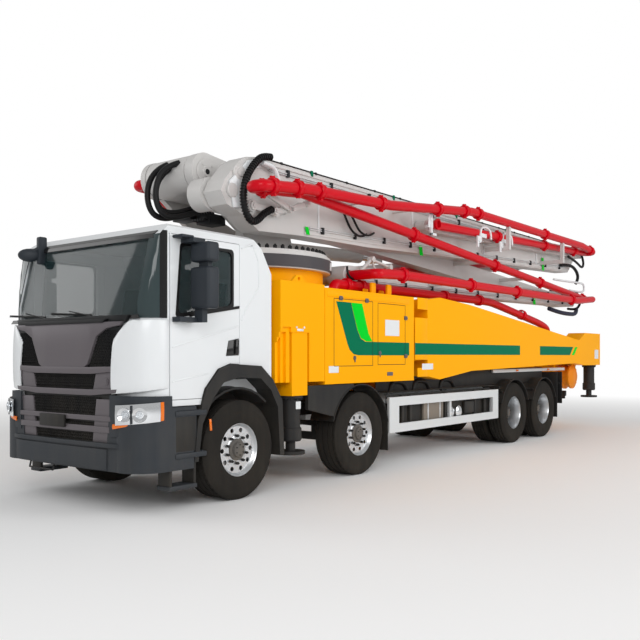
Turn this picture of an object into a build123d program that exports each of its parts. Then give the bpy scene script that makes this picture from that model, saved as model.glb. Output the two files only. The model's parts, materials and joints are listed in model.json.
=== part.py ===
"""Concrete pump truck: four-axle lorry, stabiliser deck and folded six-section placing boom.

Millimetres. +X forward, +Y to the left, +Z up. The origin is on the ground, under the
middle of the vehicle's box. Lengths along the truck are given from the first axle: at(-1500)
is 1500 mm behind it.
"""
import math
import os

from build123d import *

os.makedirs("parts", exist_ok=True)

# --- whole vehicle -------------------------------------------------------------------------
LENGTH = 13060
HALF_WIDTH = 1250
FRONT_OVERHANG = 1400
REAR_END = FRONT_OVERHANG - LENGTH      # from the first axle
SEAT_GAP = 0.3            # between faces that rest on each other across a joint
MOVING_GAP = 6            # between moving pieces that pass each other
RUNNING_FIT = 0.05        # radial clearance of a pin or tube in its bore

# --- wheels --------------------------------------------------------------------------------
TYRE_RADIUS = 540
STEER_TYRE_WIDTH = 380
TWIN_TYRE_WIDTH = 300
TWIN_SPACING = 345
RIM_RADIUS = 288
RIM_WALL = 14
STEER_WHEEL_Y = HALF_WIDTH - 12 - STEER_TYRE_WIDTH / 2
TWIN_WHEEL_Y = HALF_WIDTH - 15 - TWIN_TYRE_WIDTH / 2
SPINDLE_RADIUS = 45
AXLE_END_RADIUS = 62

# --- axles, from the first one back --------------------------------------------------------
AXLE_1_X = LENGTH / 2 - FRONT_OVERHANG
AXLE_GAPS = (2280, 4850, 1350)
AXLE_2_X = AXLE_1_X - AXLE_GAPS[0]
AXLE_3_X = AXLE_2_X - AXLE_GAPS[1]
AXLE_4_X = AXLE_3_X - AXLE_GAPS[2]
KING_PIN_Y = 910
KING_PIN_RADIUS = 25
KING_EYE_RADIUS = 52
KING_EYE_HEIGHT = 120

# --- ladder frame --------------------------------------------------------------------------
RAIL_TOP = 1050
RAIL_DEPTH = 290
RAIL_OUTER_Y = 425
RAIL_FLANGE = 90
RAIL_WALL = 10
RAIL_FRONT = 900
RAIL_REAR = REAR_END + 1510

# --- cab -----------------------------------------------------------------------------------
CAB_HALF_WIDTH = 1215
CAB_REAR = -520
CAB_TOP = 2890
CAB_WALL = 60
CAB_SIDE_FRONT = 1010      # where the flat side ends and the corner begins
CAB_FACE = 1290            # the windscreen's foot
CAB_SILL = 1060
CAB_FLOOR = 1300
DOOR_FRONT = 1000
DOOR_REAR = 0
DOOR_BOTTOM = 1120
DOOR_TOP = 2780
DOOR_HINGE_INSET = 14
DOOR_HINGE_PIN = 8
DOOR_FRONT_GAP = 12
ARCH_RADIUS = 690          # the room that the steered wheel needs
ARCH_BAND_Y = 1010
# The dark band over the first wheel, seen from the side: (distance from axle 1, height)
ARCH_OUTER = ((690, 480), (640, 900), (520, 1220), (330, 1420), (150, 1476), (-320, 1450),
              (-520, 1290), (-680, 1050), (-715, 420))
ARCH_INNER = ((-640, 420), (-600, 980), (-480, 1180), (-310, 1310), (30, 1330), (270, 1280),
              (430, 1110), (575, 860), (634, 480))

# --- deck, tool boxes and stabilisers ------------------------------------------------------
DECK_FRONT = -800
DECK_REAR = -3590
DECK_BOTTOM = 1210
DECK_TOP = 2410
BOX_FRONT = -1480
HOUSING_HALF_WIDTH = 930
SLEW_X = -1500
PEDESTAL_RADIUS = 950
PEDESTAL_TOP = 2640
RING_RADIUS = 1050
RING_TOP = PEDESTAL_TOP + 200
SPIGOT_RADIUS = 300

LEG_RADIUS = 4000
LEG_CENTRE_Y = 500         # the arc's centre, on the far side of the truck from the leg's tip
JACK_X = -1000
JACK_Y = 1095
LEG_LEAD = -68.24          # from the jack to the arc's middle line, along the truck
LEG_CENTRE_X = JACK_X + LEG_LEAD + math.sqrt(LEG_RADIUS ** 2 - (JACK_Y + LEG_CENTRE_Y) ** 2)
LEG_HALF_WIDTH = 190
LEG_TIP_ANGLE = 156.5
LEG_TAIL_ANGLE = 184.5
LEG_BOTTOM = {1: 1350, -1: 1850}    # the legs cross, so the left one lies lower
LEG_DEPTH = 430
LEG_CLEARANCE = 8
HEAD_FRONT = -640
HEAD_REAR = -1470
HEAD_BOTTOM = 1250
HEAD_TOP = 2440
HEAD_INNER_Y = 1085
# nested steps at the head's lower front: how far back, how deep and how high each one goes
HEAD_STEPS = ((190, 25, 1900), (125, 55, 1840), (60, 85, 1780))
JACK_BOX = 290
JACK_BOX_BOTTOM = 1090
JACK_BOX_TOP = 2060
JACK_CASING_RADIUS = 88
JACK_ROD_RADIUS = 60
JACK_CASING_BOTTOM = 550
FOOT_RADIUS = 175
FOOT_THICKNESS = 40
FRONT_FOOT_Z = 390

BEAM_INNER_Y = 890
BEAM_HINGE_X = -3760
BEAM_HINGE_Y = 1020
BEAM_PIN_RADIUS = 40
BEAM_EYE_RADIUS = 110
BEAM_REAR = REAR_END
LUG_LEVELS = ((1400, 1490), (2140, 2230))
REAR_JACK_X = REAR_END + 210
REAR_JACK_Y = 1070
REAR_JACK_BOX = 230
REAR_FOOT_Z = 640
REAR_CASING_BOTTOM = 800
REAR_JACK_TOP = 2020

# --- boom: hinge points (distance from axle 1, height) -------------------------------------
J01 = (-520, 3815)
J12 = (REAR_END + 1060, 3700)
J23 = (-2750, 2690)
J34 = (REAR_END + 210, 2830)
J45 = (-400, 3500)
J56 = (REAR_END + 210, 3880)
BOOM_TIP = (-4600, 3620)
SLAB_1 = (-700, -250)
SLAB_2 = (-235, -20)
SLAB_3 = (405, 695)
SLAB_4 = (155, 390)
SLAB_5 = SLAB_3
SLAB_6 = (710, 880)
PIPE_RADIUS = 70
PIPE_BORE = 62.5
INNER_PIPE_Y = 990
OUTER_PIPE_Y = 1170
SWIVEL_Y = (INNER_PIPE_Y + OUTER_PIPE_Y) / 2
HUB_PIN = 90
PIPE_AXLE = 100            # hollow hinge axle that a pipe runs through
PIPE_AXLE_BORE = 80

LIFT_FOOT = (-1900, 3120)
LIFT_EYE = (-5100, 3250)
LIFT_Y = (SLAB_1[0] + SLAB_1[1]) / 2
LIFT_BARREL = 105
LIFT_ROD = 60


def at(distance):
    """X of a place this far ahead of the first axle."""
    return AXLE_1_X + distance


def placed(point):
    """A (distance from axle 1, height) pair as (X, Z)."""
    return (at(point[0]), point[1])


def save(part, name):
    part.label = name
    export_step(part, f"parts/{name}.step")


# Each helper below adds to, or cuts from, the part block that is open where it is called.

def side_plate(outline, y_low, y_high, mode=Mode.ADD):
    """A body with a straight-edged outline in X and Z, between two Y planes."""
    with BuildSketch(Plane.XZ.offset(-y_low)) as face:
        with BuildLine():
            Polyline(*outline, close=True)
        make_face()
    extrude(face.sketch, amount=-(y_high - y_low), mode=mode)


def cross_plate(outline, x_low, x_high, mode=Mode.ADD):
    """A body with a straight-edged outline in Y and Z, between two X planes."""
    with BuildSketch(Plane.YZ.offset(x_low)) as face:
        with BuildLine():
            Polyline(*outline, close=True)
        make_face()
    extrude(face.sketch, amount=x_high - x_low, mode=mode)


def block(x_range, y_range, z_range, mode=Mode.ADD):
    """A box between the given limits."""
    size = [abs(limits[1] - limits[0]) for limits in (x_range, y_range, z_range)]
    middle = [sum(limits) / 2 for limits in (x_range, y_range, z_range)]
    with Locations(tuple(middle)):
        Box(*size, mode=mode)


def rod_y(x, z, radius, y_low, y_high, mode=Mode.ADD):
    """A round bar along Y."""
    with BuildSketch(Plane.XZ.offset(-y_low)) as face:
        with Locations((x, z)):
            Circle(radius)
    extrude(face.sketch, amount=-(y_high - y_low), mode=mode)


def rod_z(x, y, radius, z_low, z_high, mode=Mode.ADD):
    """A round bar along Z."""
    with BuildSketch(Plane.XY.offset(z_low)) as face:
        with Locations((x, y)):
            Circle(radius)
    extrude(face.sketch, amount=z_high - z_low, mode=mode)


def rod_between(start, end, radius, mode=Mode.ADD):
    """A round bar from one point to another."""
    run = Vector(*end) - Vector(*start)
    with BuildSketch(Plane(origin=start, z_dir=run)) as face:
        Circle(radius)
    extrude(face.sketch, amount=run.length, mode=mode)


def mirrored(part):
    """The same piece on the other side of the truck."""
    return part.mirror(Plane.XZ)


# ============================ chassis =======================================================

ENGINE_HALF_WIDTH = 325
ENGINE_FRONT = 720
ENGINE_REAR = -560
ENGINE_BOTTOM = 640
ENGINE_TOP = 1230
ENGINE_FOOT = 110

CROSS_MEMBERS = (820, -1150, -1900, -2900, -3900, -5200, -6400, -7780, RAIL_REAR + 1050, RAIL_REAR + 70)
CROSS_MEMBER_DEPTH = 200
CROSS_MEMBER_LENGTH = 90

with BuildPart() as chassis_frame:
    for side in (1, -1):
        web_out = side * RAIL_OUTER_Y
        web_in = side * (RAIL_OUTER_Y - RAIL_WALL)
        lip = side * (RAIL_OUTER_Y - RAIL_FLANGE)
        rail_bottom = RAIL_TOP - RAIL_DEPTH
        cross_plate(
            [(web_out, RAIL_TOP), (lip, RAIL_TOP), (lip, RAIL_TOP - RAIL_WALL),
             (web_in, RAIL_TOP - RAIL_WALL), (web_in, rail_bottom + RAIL_WALL),
             (lip, rail_bottom + RAIL_WALL), (lip, rail_bottom), (web_out, rail_bottom)],
            at(RAIL_REAR), at(RAIL_FRONT))
    for distance in CROSS_MEMBERS:
        block((at(distance) - CROSS_MEMBER_LENGTH / 2, at(distance) + CROSS_MEMBER_LENGTH / 2),
              (-RAIL_OUTER_Y + RAIL_WALL, RAIL_OUTER_Y - RAIL_WALL),
              (RAIL_TOP - RAIL_DEPTH / 2 - CROSS_MEMBER_DEPTH / 2,
               RAIL_TOP - RAIL_DEPTH / 2 + CROSS_MEMBER_DEPTH / 2))
    block((at(ENGINE_REAR), at(ENGINE_FRONT)), (-ENGINE_HALF_WIDTH, ENGINE_HALF_WIDTH),
          (ENGINE_BOTTOM, ENGINE_TOP))
    for distance in (ENGINE_FRONT - 250, ENGINE_REAR + 250):
        block((at(distance) - ENGINE_FOOT / 2, at(distance) + ENGINE_FOOT / 2),
              (-RAIL_OUTER_Y + RAIL_WALL, RAIL_OUTER_Y - RAIL_WALL),
              (RAIL_TOP - 180, RAIL_TOP - 80))
save(chassis_frame.part, "chassis_frame")

STEER_BEAM_WIDTH = 90
STEER_BEAM_DEPTH = 100
STEER_BEAM_DROP = 75
DRIVE_TUBE_RADIUS = 75
DRIVE_HOUSING_RADIUS = 200
SPRING_Y = 480
SPRING_WIDTH = 80
SPRING_HALF_LENGTH = 620
SPRING_THICKNESS = 50

with BuildPart() as axles:
    for axle_x in (AXLE_1_X, AXLE_2_X):
        beam_top = TYRE_RADIUS + STEER_BEAM_DEPTH / 2
        beam_low = TYRE_RADIUS - STEER_BEAM_DEPTH / 2
        knee, flat = KING_PIN_Y - 170, KING_PIN_Y - 330
        cross_plate(
            [(KING_PIN_Y, beam_top), (knee, beam_top), (flat, beam_top - STEER_BEAM_DROP),
             (-flat, beam_top - STEER_BEAM_DROP), (-knee, beam_top), (-KING_PIN_Y, beam_top),
             (-KING_PIN_Y, beam_low), (-knee, beam_low), (-flat, beam_low - STEER_BEAM_DROP),
             (flat, beam_low - STEER_BEAM_DROP), (knee, beam_low), (KING_PIN_Y, beam_low)],
            axle_x - STEER_BEAM_WIDTH / 2, axle_x + STEER_BEAM_WIDTH / 2)
        for side in (1, -1):
            rod_z(axle_x, side * KING_PIN_Y, KING_EYE_RADIUS,
                  TYRE_RADIUS - KING_EYE_HEIGHT / 2, TYRE_RADIUS + KING_EYE_HEIGHT / 2)
            rod_z(axle_x, side * KING_PIN_Y, KING_PIN_RADIUS + RUNNING_FIT,
                  TYRE_RADIUS - KING_EYE_HEIGHT / 2, TYRE_RADIUS + KING_EYE_HEIGHT / 2,
                  mode=Mode.SUBTRACT)
    for axle_x in (AXLE_3_X, AXLE_4_X):
        tube_end = TWIN_WHEEL_Y - 60
        rod_y(axle_x, TYRE_RADIUS, DRIVE_TUBE_RADIUS, -TWIN_WHEEL_Y + 530, TWIN_WHEEL_Y - 530)
        rod_y(axle_x, TYRE_RADIUS, AXLE_END_RADIUS, -tube_end, tube_end)
        with Locations((axle_x, 0, TYRE_RADIUS)):
            Sphere(DRIVE_HOUSING_RADIUS)
    for axle_x in (AXLE_1_X, AXLE_2_X, AXLE_3_X, AXLE_4_X):
        for side in (1, -1):
            spring_low = TYRE_RADIUS + 20
            block((axle_x - 60, axle_x + 60),
                  (side * (SPRING_Y - SPRING_WIDTH / 2), side * (SPRING_Y + SPRING_WIDTH / 2)),
                  (TYRE_RADIUS - 60, spring_low + 60))
            side_plate(
                [(axle_x - SPRING_HALF_LENGTH, spring_low + 120),
                 (axle_x, spring_low + 40),
                 (axle_x + SPRING_HALF_LENGTH, spring_low + 120),
                 (axle_x + SPRING_HALF_LENGTH, spring_low + 120 + SPRING_THICKNESS),
                 (axle_x, spring_low + 40 + SPRING_THICKNESS * 1.6),
                 (axle_x - SPRING_HALF_LENGTH, spring_low + 120 + SPRING_THICKNESS)],
                *sorted((side * (SPRING_Y - SPRING_WIDTH / 2), side * (SPRING_Y + SPRING_WIDTH / 2))))
            for end in (1, -1):
                hanger_x = axle_x + end * (SPRING_HALF_LENGTH - 30)
                block((hanger_x - 30, hanger_x + 30),
                      (side * RAIL_OUTER_Y, side * (SPRING_Y + SPRING_WIDTH / 2)),
                      (spring_low + 120, RAIL_TOP - 60))
save(axles.part, "axles")

FORK_THICKNESS = 34
FORK_REACH = 75
for axle_number, axle_x in ((1, AXLE_1_X), (2, AXLE_2_X)):
    with BuildPart() as knuckle_left:
        fork_low = TYRE_RADIUS - KING_EYE_HEIGHT / 2
        fork_high = TYRE_RADIUS + KING_EYE_HEIGHT / 2
        rod_z(axle_x, KING_PIN_Y, KING_PIN_RADIUS, fork_low - FORK_THICKNESS,
              fork_high + FORK_THICKNESS)
        for arm_low, arm_high in ((fork_low - FORK_THICKNESS, fork_low - SEAT_GAP),
                                  (fork_high + SEAT_GAP, fork_high + FORK_THICKNESS)):
            rod_z(axle_x, KING_PIN_Y, KING_EYE_RADIUS, arm_low, arm_high)
            block((axle_x - KING_EYE_RADIUS, axle_x + KING_EYE_RADIUS),
                  (KING_PIN_Y, KING_PIN_Y + FORK_REACH + 30), (arm_low, arm_high))
        block((axle_x - KING_EYE_RADIUS, axle_x + KING_EYE_RADIUS),
              (KING_PIN_Y + FORK_REACH, KING_PIN_Y + FORK_REACH + 30),
              (fork_low - FORK_THICKNESS, fork_high + FORK_THICKNESS))
        rod_y(axle_x, TYRE_RADIUS, SPINDLE_RADIUS, KING_PIN_Y + FORK_REACH + 20,
              STEER_WHEEL_Y + 100)
    save(knuckle_left.part, f"knuckle_{axle_number}_left")
    save(mirrored(knuckle_left.part), f"knuckle_{axle_number}_right")


def tyre_section(middle_y, width):
    """Half section of a tyre: (distance along the axle, radius)."""
    half = width / 2
    return [(middle_y - half + 25, RIM_RADIUS + SEAT_GAP), (middle_y - half, RIM_RADIUS + 90),
            (middle_y - half + 6, TYRE_RADIUS - 60), (middle_y - half + 40, TYRE_RADIUS),
            (middle_y + half - 40, TYRE_RADIUS), (middle_y + half - 6, TYRE_RADIUS - 60),
            (middle_y + half, RIM_RADIUS + 90), (middle_y + half - 25, RIM_RADIUS + SEAT_GAP)]


def turned(outline, axle_x):
    """A body turned about a wheel's axis from (distance along the axle, radius) points."""
    axis_plane = Plane(origin=(axle_x, 0, TYRE_RADIUS), x_dir=(0, 1, 0), z_dir=(1, 0, 0))
    with BuildSketch(axis_plane) as face:
        with BuildLine():
            Polyline(*outline, close=True)
        make_face()
    revolve(face.sketch, axis=Axis((axle_x, 0, TYRE_RADIUS), (0, 1, 0)))


STEER_DISC_Y = STEER_WHEEL_Y + 95
HUB_RADIUS = 135
RIM_LIP = 22

for axle_number, axle_x in ((1, AXLE_1_X), (2, AXLE_2_X)):
    with BuildPart() as tyre_left:
        turned(tyre_section(STEER_WHEEL_Y, STEER_TYRE_WIDTH), axle_x)
    save(tyre_left.part, f"tyre_{axle_number}_left")
    save(mirrored(tyre_left.part), f"tyre_{axle_number}_right")
    with BuildPart() as rim_left:
        rim_in = STEER_WHEEL_Y - STEER_TYRE_WIDTH / 2 + 30
        rim_out = STEER_WHEEL_Y + STEER_TYRE_WIDTH / 2 - 30
        inner = RIM_RADIUS - RIM_WALL
        turned([(rim_in, RIM_RADIUS), (rim_out, RIM_RADIUS), (rim_out, inner),
                (STEER_DISC_Y + 10, inner - 10), (STEER_DISC_Y + 35, inner - 60),
                (STEER_DISC_Y + 20, HUB_RADIUS + 20), (STEER_DISC_Y + 45, HUB_RADIUS - 30),
                (STEER_DISC_Y + 45, HUB_RADIUS - 65), (STEER_DISC_Y + 80, HUB_RADIUS - 65),
                (STEER_DISC_Y + 80, 0),
                (STEER_DISC_Y + 20, 0), (STEER_DISC_Y + 20, SPINDLE_RADIUS + RUNNING_FIT),
                (KING_PIN_Y + FORK_REACH + 40, SPINDLE_RADIUS + RUNNING_FIT),
                (KING_PIN_Y + FORK_REACH + 40, HUB_RADIUS),
                (STEER_DISC_Y, HUB_RADIUS), (STEER_DISC_Y + 15, inner - 60),
                (STEER_DISC_Y - 10, inner - 10), (rim_in, inner)], axle_x)
    save(rim_left.part, f"rim_{axle_number}_left")
    save(mirrored(rim_left.part), f"rim_{axle_number}_right")

TWIN_INNER_Y = TWIN_WHEEL_Y - TWIN_SPACING
TWIN_DISC_Y = TWIN_WHEEL_Y - TWIN_SPACING / 2

for axle_number, axle_x in ((3, AXLE_3_X), (4, AXLE_4_X)):
    with BuildPart() as tyre_left:
        for middle_y in (TWIN_WHEEL_Y, TWIN_INNER_Y):
            turned(tyre_section(middle_y, TWIN_TYRE_WIDTH), axle_x)
    save(tyre_left.part, f"tyre_{axle_number}_left")
    save(mirrored(tyre_left.part), f"tyre_{axle_number}_right")
    with BuildPart() as rim_left:
        rim_in = TWIN_INNER_Y - TWIN_TYRE_WIDTH / 2 + 30
        rim_out = TWIN_WHEEL_Y + TWIN_TYRE_WIDTH / 2 - 30
        inner = RIM_RADIUS - RIM_WALL
        bore = AXLE_END_RADIUS + RUNNING_FIT
        hub_out = TWIN_WHEEL_Y + 20
        turned([(rim_in, RIM_RADIUS), (rim_out, RIM_RADIUS), (rim_out, inner),
                (TWIN_DISC_Y + 60, inner - 12), (TWIN_DISC_Y + 20, inner - 70),
                (TWIN_DISC_Y + 14, HUB_RADIUS), (hub_out, HUB_RADIUS - 15), (hub_out, 0),
                (hub_out - 40, 0), (hub_out - 40, bore), (TWIN_INNER_Y - 40, bore),
                (TWIN_INNER_Y - 40, HUB_RADIUS), (TWIN_DISC_Y - 14, HUB_RADIUS),
                (TWIN_DISC_Y - 20, inner - 70), (TWIN_DISC_Y - 60, inner - 12), (rim_in, inner)],
               axle_x)
    save(rim_left.part, f"rim_{axle_number}_left")
    save(mirrored(rim_left.part), f"rim_{axle_number}_right")

# ============================ cab ===========================================================


def cab_form(inset, floor_z):
    """The cab's outer form drawn in by inset all round, down to floor_z."""
    with BuildPart() as form:
        with BuildSketch(Plane.XZ) as side_view:
            with BuildLine():
                Polyline((at(CAB_REAR), 900), (at(CAB_REAR), CAB_TOP - 400),
                         (at(CAB_REAR + 170), CAB_TOP - 120), (at(CAB_REAR + 270), CAB_TOP), (at(CAB_FACE - 350), CAB_TOP),
                         (at(CAB_FACE - 190), CAB_TOP - 120), (at(CAB_FACE), 1930),
                         (at(CAB_FACE + 20), 900), close=True)
            make_face()
            offset(amount=-inset, kind=Kind.INTERSECTION)
        extrude(side_view.sketch, amount=CAB_HALF_WIDTH, both=True)
        with BuildSketch(Plane.XY.offset(floor_z)) as plan:
            with BuildLine():
                Polyline((at(CAB_SIDE_FRONT), CAB_HALF_WIDTH), (at(CAB_REAR), CAB_HALF_WIDTH),
                         (at(CAB_REAR), -CAB_HALF_WIDTH), (at(CAB_SIDE_FRONT), -CAB_HALF_WIDTH))
                ThreePointArc((at(CAB_SIDE_FRONT), -CAB_HALF_WIDTH),
                              (at(CAB_FACE - 80), -CAB_HALF_WIDTH + 110),
                              (at(CAB_FACE), -CAB_HALF_WIDTH + 330))
                ThreePointArc((at(CAB_FACE), -CAB_HALF_WIDTH + 330), (at(CAB_FACE + 30), 0),
                              (at(CAB_FACE), CAB_HALF_WIDTH - 330))
                ThreePointArc((at(CAB_FACE), CAB_HALF_WIDTH - 330),
                              (at(CAB_FACE - 80), CAB_HALF_WIDTH - 110),
                              (at(CAB_SIDE_FRONT), CAB_HALF_WIDTH))
            make_face()
            offset(amount=-inset)
        extrude(plan.sketch, amount=CAB_TOP, mode=Mode.INTERSECT)
        shoulder = CAB_HALF_WIDTH - inset
        roof = CAB_TOP - inset
        cross_plate([(-shoulder, floor_z - 1), (shoulder, floor_z - 1), (shoulder, roof - 130),
                     (shoulder - 45, roof - 30), (shoulder - 110, roof + 1),
                     (-shoulder + 110, roof + 1), (-shoulder + 45, roof - 30),
                     (-shoulder, roof - 130)],
                    at(CAB_REAR) - 1, at(CAB_FACE) + 100, mode=Mode.INTERSECT)
    return form.part


def arch_outline(points, gap):
    """A wheel arch's outline as a face in X and Z, grown by gap."""
    with BuildSketch(Plane.XZ) as face:
        with BuildLine():
            Polyline(*[(at(distance), height) for distance, height in points], close=True)
        make_face()
        if gap:
            offset(amount=gap, kind=Kind.INTERSECTION)
    return face.sketch


def wheel_arch(gap):
    """The room over the front wheels and behind their arch bands, on both sides."""
    with BuildPart() as room:
        for side in (1, -1):
            y_low, y_high = sorted((side * 830, side * (HALF_WIDTH + 50)))
            rod_y(AXLE_1_X, TYRE_RADIUS, ARCH_RADIUS + gap, y_low, y_high)
            y_low, y_high = sorted((side * (ARCH_BAND_Y - gap), side * (HALF_WIDTH + 50)))
            outer = arch_outline(ARCH_OUTER + ((-715, 300), (690, 300)), gap)
            extrude(outer.moved(Location((0, y_low, 0))), amount=-(y_high - y_low))
    return room.part


def door_prism(gap, front_gap, y_inner):
    """The left door's outline, drawn in by its gap, from y_inner outwards."""
    with BuildPart() as prism:
        block((at(DOOR_REAR) + gap, at(DOOR_FRONT) - front_gap), (y_inner, CAB_HALF_WIDTH + 50),
              (DOOR_BOTTOM + gap, DOOR_TOP - gap))
    return prism.part


WINDSCREEN_HALF_WIDTH = 1050
WINDSCREEN_BOTTOM = 1950
WINDSCREEN_TOP = 2740
GLASS_DEPTH = 22
GLASS_THICKNESS = 10
WINDOW_CORNERS = ((905, 1960), (105, 2085), (105, 2690), (850, 2690))

cab_outer = cab_form(0, CAB_SILL)
cab_inner = cab_form(CAB_WALL, CAB_FLOOR)
glass_outer = cab_form(GLASS_DEPTH, CAB_SILL)
glass_inner = cab_form(GLASS_DEPTH + GLASS_THICKNESS, CAB_SILL - 10)
arch_room = wheel_arch(SEAT_GAP)
door_hole = door_prism(0, 0, CAB_HALF_WIDTH - CAB_WALL - MOVING_GAP)
door_solid = door_prism(MOVING_GAP, DOOR_FRONT_GAP, CAB_HALF_WIDTH - CAB_WALL)
hinge_x = at(DOOR_FRONT) - DOOR_FRONT_GAP - DOOR_HINGE_INSET
hinge_y = CAB_HALF_WIDTH - DOOR_HINGE_INSET

with BuildPart() as cab_shell:
    add(cab_outer)
    add(cab_inner, mode=Mode.SUBTRACT)
    block((at(CAB_REAR) - 10, at(CAB_FACE - 120)), (-1000, 1000),
          (CAB_SILL - 1, CAB_FLOOR - CAB_WALL), mode=Mode.SUBTRACT)
    add(arch_room, mode=Mode.SUBTRACT)
    add(door_hole, mode=Mode.SUBTRACT)
    add(mirrored(door_hole), mode=Mode.SUBTRACT)
    block((at(CAB_FACE - 260), at(CAB_FACE + 60)),
          (-WINDSCREEN_HALF_WIDTH, WINDSCREEN_HALF_WIDTH),
          (WINDSCREEN_BOTTOM, WINDSCREEN_TOP), mode=Mode.SUBTRACT)
    for side in (1, -1):
        for z_low, z_high in ((DOOR_BOTTOM - 20, DOOR_BOTTOM + 60),
                              (DOOR_TOP - 60, DOOR_TOP + 20)):
            rod_z(hinge_x, side * hinge_y, DOOR_HINGE_PIN, z_low, z_high)
save(cab_shell.part, "cab_shell")

with BuildPart() as cab_glass:
    add(glass_outer)
    add(glass_inner, mode=Mode.SUBTRACT)
    block((at(CAB_FACE - 259), at(CAB_FACE + 60)),
          (-WINDSCREEN_HALF_WIDTH + SEAT_GAP, WINDSCREEN_HALF_WIDTH - SEAT_GAP),
          (WINDSCREEN_BOTTOM + SEAT_GAP, WINDSCREEN_TOP - SEAT_GAP), mode=Mode.INTERSECT)
save(cab_glass.part, "cab_glass")

with BuildPart() as door_left:
    add(cab_outer)
    add(door_solid, mode=Mode.INTERSECT)
    add(wheel_arch(MOVING_GAP), mode=Mode.SUBTRACT)
    side_plate([(at(distance), height) for distance, height in WINDOW_CORNERS],
               CAB_HALF_WIDTH - CAB_WALL - 1, CAB_HALF_WIDTH + 1, mode=Mode.SUBTRACT)
    rod_z(hinge_x, hinge_y, DOOR_HINGE_PIN + RUNNING_FIT, DOOR_BOTTOM, DOOR_BOTTOM + 65,
          mode=Mode.SUBTRACT)
    rod_z(hinge_x, hinge_y, DOOR_HINGE_PIN + RUNNING_FIT, DOOR_TOP - 65, DOOR_TOP,
          mode=Mode.SUBTRACT)
save(door_left.part, "door_left")
save(mirrored(door_left.part), "door_right")

SEAT_Y = 620
with BuildPart() as cab_interior:
    for side in (1, -1):
        seat_y = side * SEAT_Y
        block((at(60), at(440)), (seat_y - 150, seat_y + 150), (CAB_FLOOR, CAB_FLOOR + 260))
        block((at(0), at(500)), (seat_y - 250, seat_y + 250), (CAB_FLOOR + 260, CAB_FLOOR + 400))
        side_plate([(at(60), CAB_FLOOR + 300), (at(-40), CAB_FLOOR + 300),
                    (at(-180), CAB_FLOOR + 1080), (at(-90), CAB_FLOOR + 1080)],
                   seat_y - 230, seat_y + 230)
    side_plate([(at(CAB_FACE - 60), CAB_FLOOR + 560), (at(CAB_FACE - 420), CAB_FLOOR + 600),
                (at(CAB_FACE - 400), CAB_FLOOR + 300), (at(CAB_FACE - 200), CAB_FLOOR),
                (at(CAB_FACE - 60), CAB_FLOOR)], -1080, 1080)
    add(cab_inner, mode=Mode.INTERSECT)
    wheel_plane = Plane(origin=(at(640), SEAT_Y, CAB_FLOOR + 640), z_dir=(-0.5, 0, 0.87))
    with BuildSketch(wheel_plane) as wheel_ring:
        Circle(225)
        Circle(190, mode=Mode.SUBTRACT)
        Rectangle(400, 50)
        Circle(60)
    extrude(wheel_ring.sketch, amount=30)
    rod_between((at(648), SEAT_Y, CAB_FLOOR + 630), (at(920), SEAT_Y, CAB_FLOOR + 440), 30)
save(cab_interior.part, "cab_interior")

GRILLE_TOP = 1900
GRILLE_BOTTOM = 690
GRILLE_FRONT = CAB_FACE + 65
GRILLE_HALF_TOP = 860
GRILLE_HALF_BOTTOM = 720


def front_plan(front, half_width, corner, rear):
    """Plan outline of a piece across the front, with rounded corners, as a closed face."""
    with BuildSketch() as plan:
        with BuildLine():
            Polyline((at(front - corner), half_width), (at(rear), half_width),
                     (at(rear), -half_width), (at(front - corner), -half_width))
            ThreePointArc((at(front - corner), -half_width),
                          (at(front - corner * 0.28), -half_width + corner * 0.3),
                          (at(front - 25), -half_width + corner * 1.1))
            ThreePointArc((at(front - 25), -half_width + corner * 1.1), (at(front), 0),
                          (at(front - 25), half_width - corner * 1.1))
            ThreePointArc((at(front - 25), half_width - corner * 1.1),
                          (at(front - corner * 0.28), half_width - corner * 0.3),
                          (at(front - corner), half_width))
        make_face()
    return plan.sketch


GRILLE_SLOTS = ((760, 1000), (1050, 1260), (1310, 1500))

with BuildPart() as grille:
    extrude(front_plan(GRILLE_FRONT, 1100, 150, CAB_FACE - 90), amount=GRILLE_TOP)
    cross_plate([(-GRILLE_HALF_BOTTOM, GRILLE_BOTTOM), (GRILLE_HALF_BOTTOM, GRILLE_BOTTOM),
                 (GRILLE_HALF_TOP, GRILLE_TOP), (-GRILLE_HALF_TOP, GRILLE_TOP)],
                at(CAB_FACE - 100), at(GRILLE_FRONT + 50), mode=Mode.INTERSECT)
    add(cab_outer, mode=Mode.SUBTRACT)
    for slot_low, slot_high in GRILLE_SLOTS:
        block((at(GRILLE_FRONT - 28), at(GRILLE_FRONT + 10)), (-640, 640), (slot_low, slot_high),
              mode=Mode.SUBTRACT)
        for bar in (1, 2):
            bar_z = slot_low + (slot_high - slot_low) * bar / 3
            block((at(GRILLE_FRONT - 30), at(GRILLE_FRONT - 5)), (-640, 640),
                  (bar_z - 14, bar_z + 14))
save(grille.part, "grille")

BUMPER_BOTTOM = 420
BUMPER_TOP = 850
BUMPER_REAR = 660
LAMP_TOP = 1080

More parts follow.
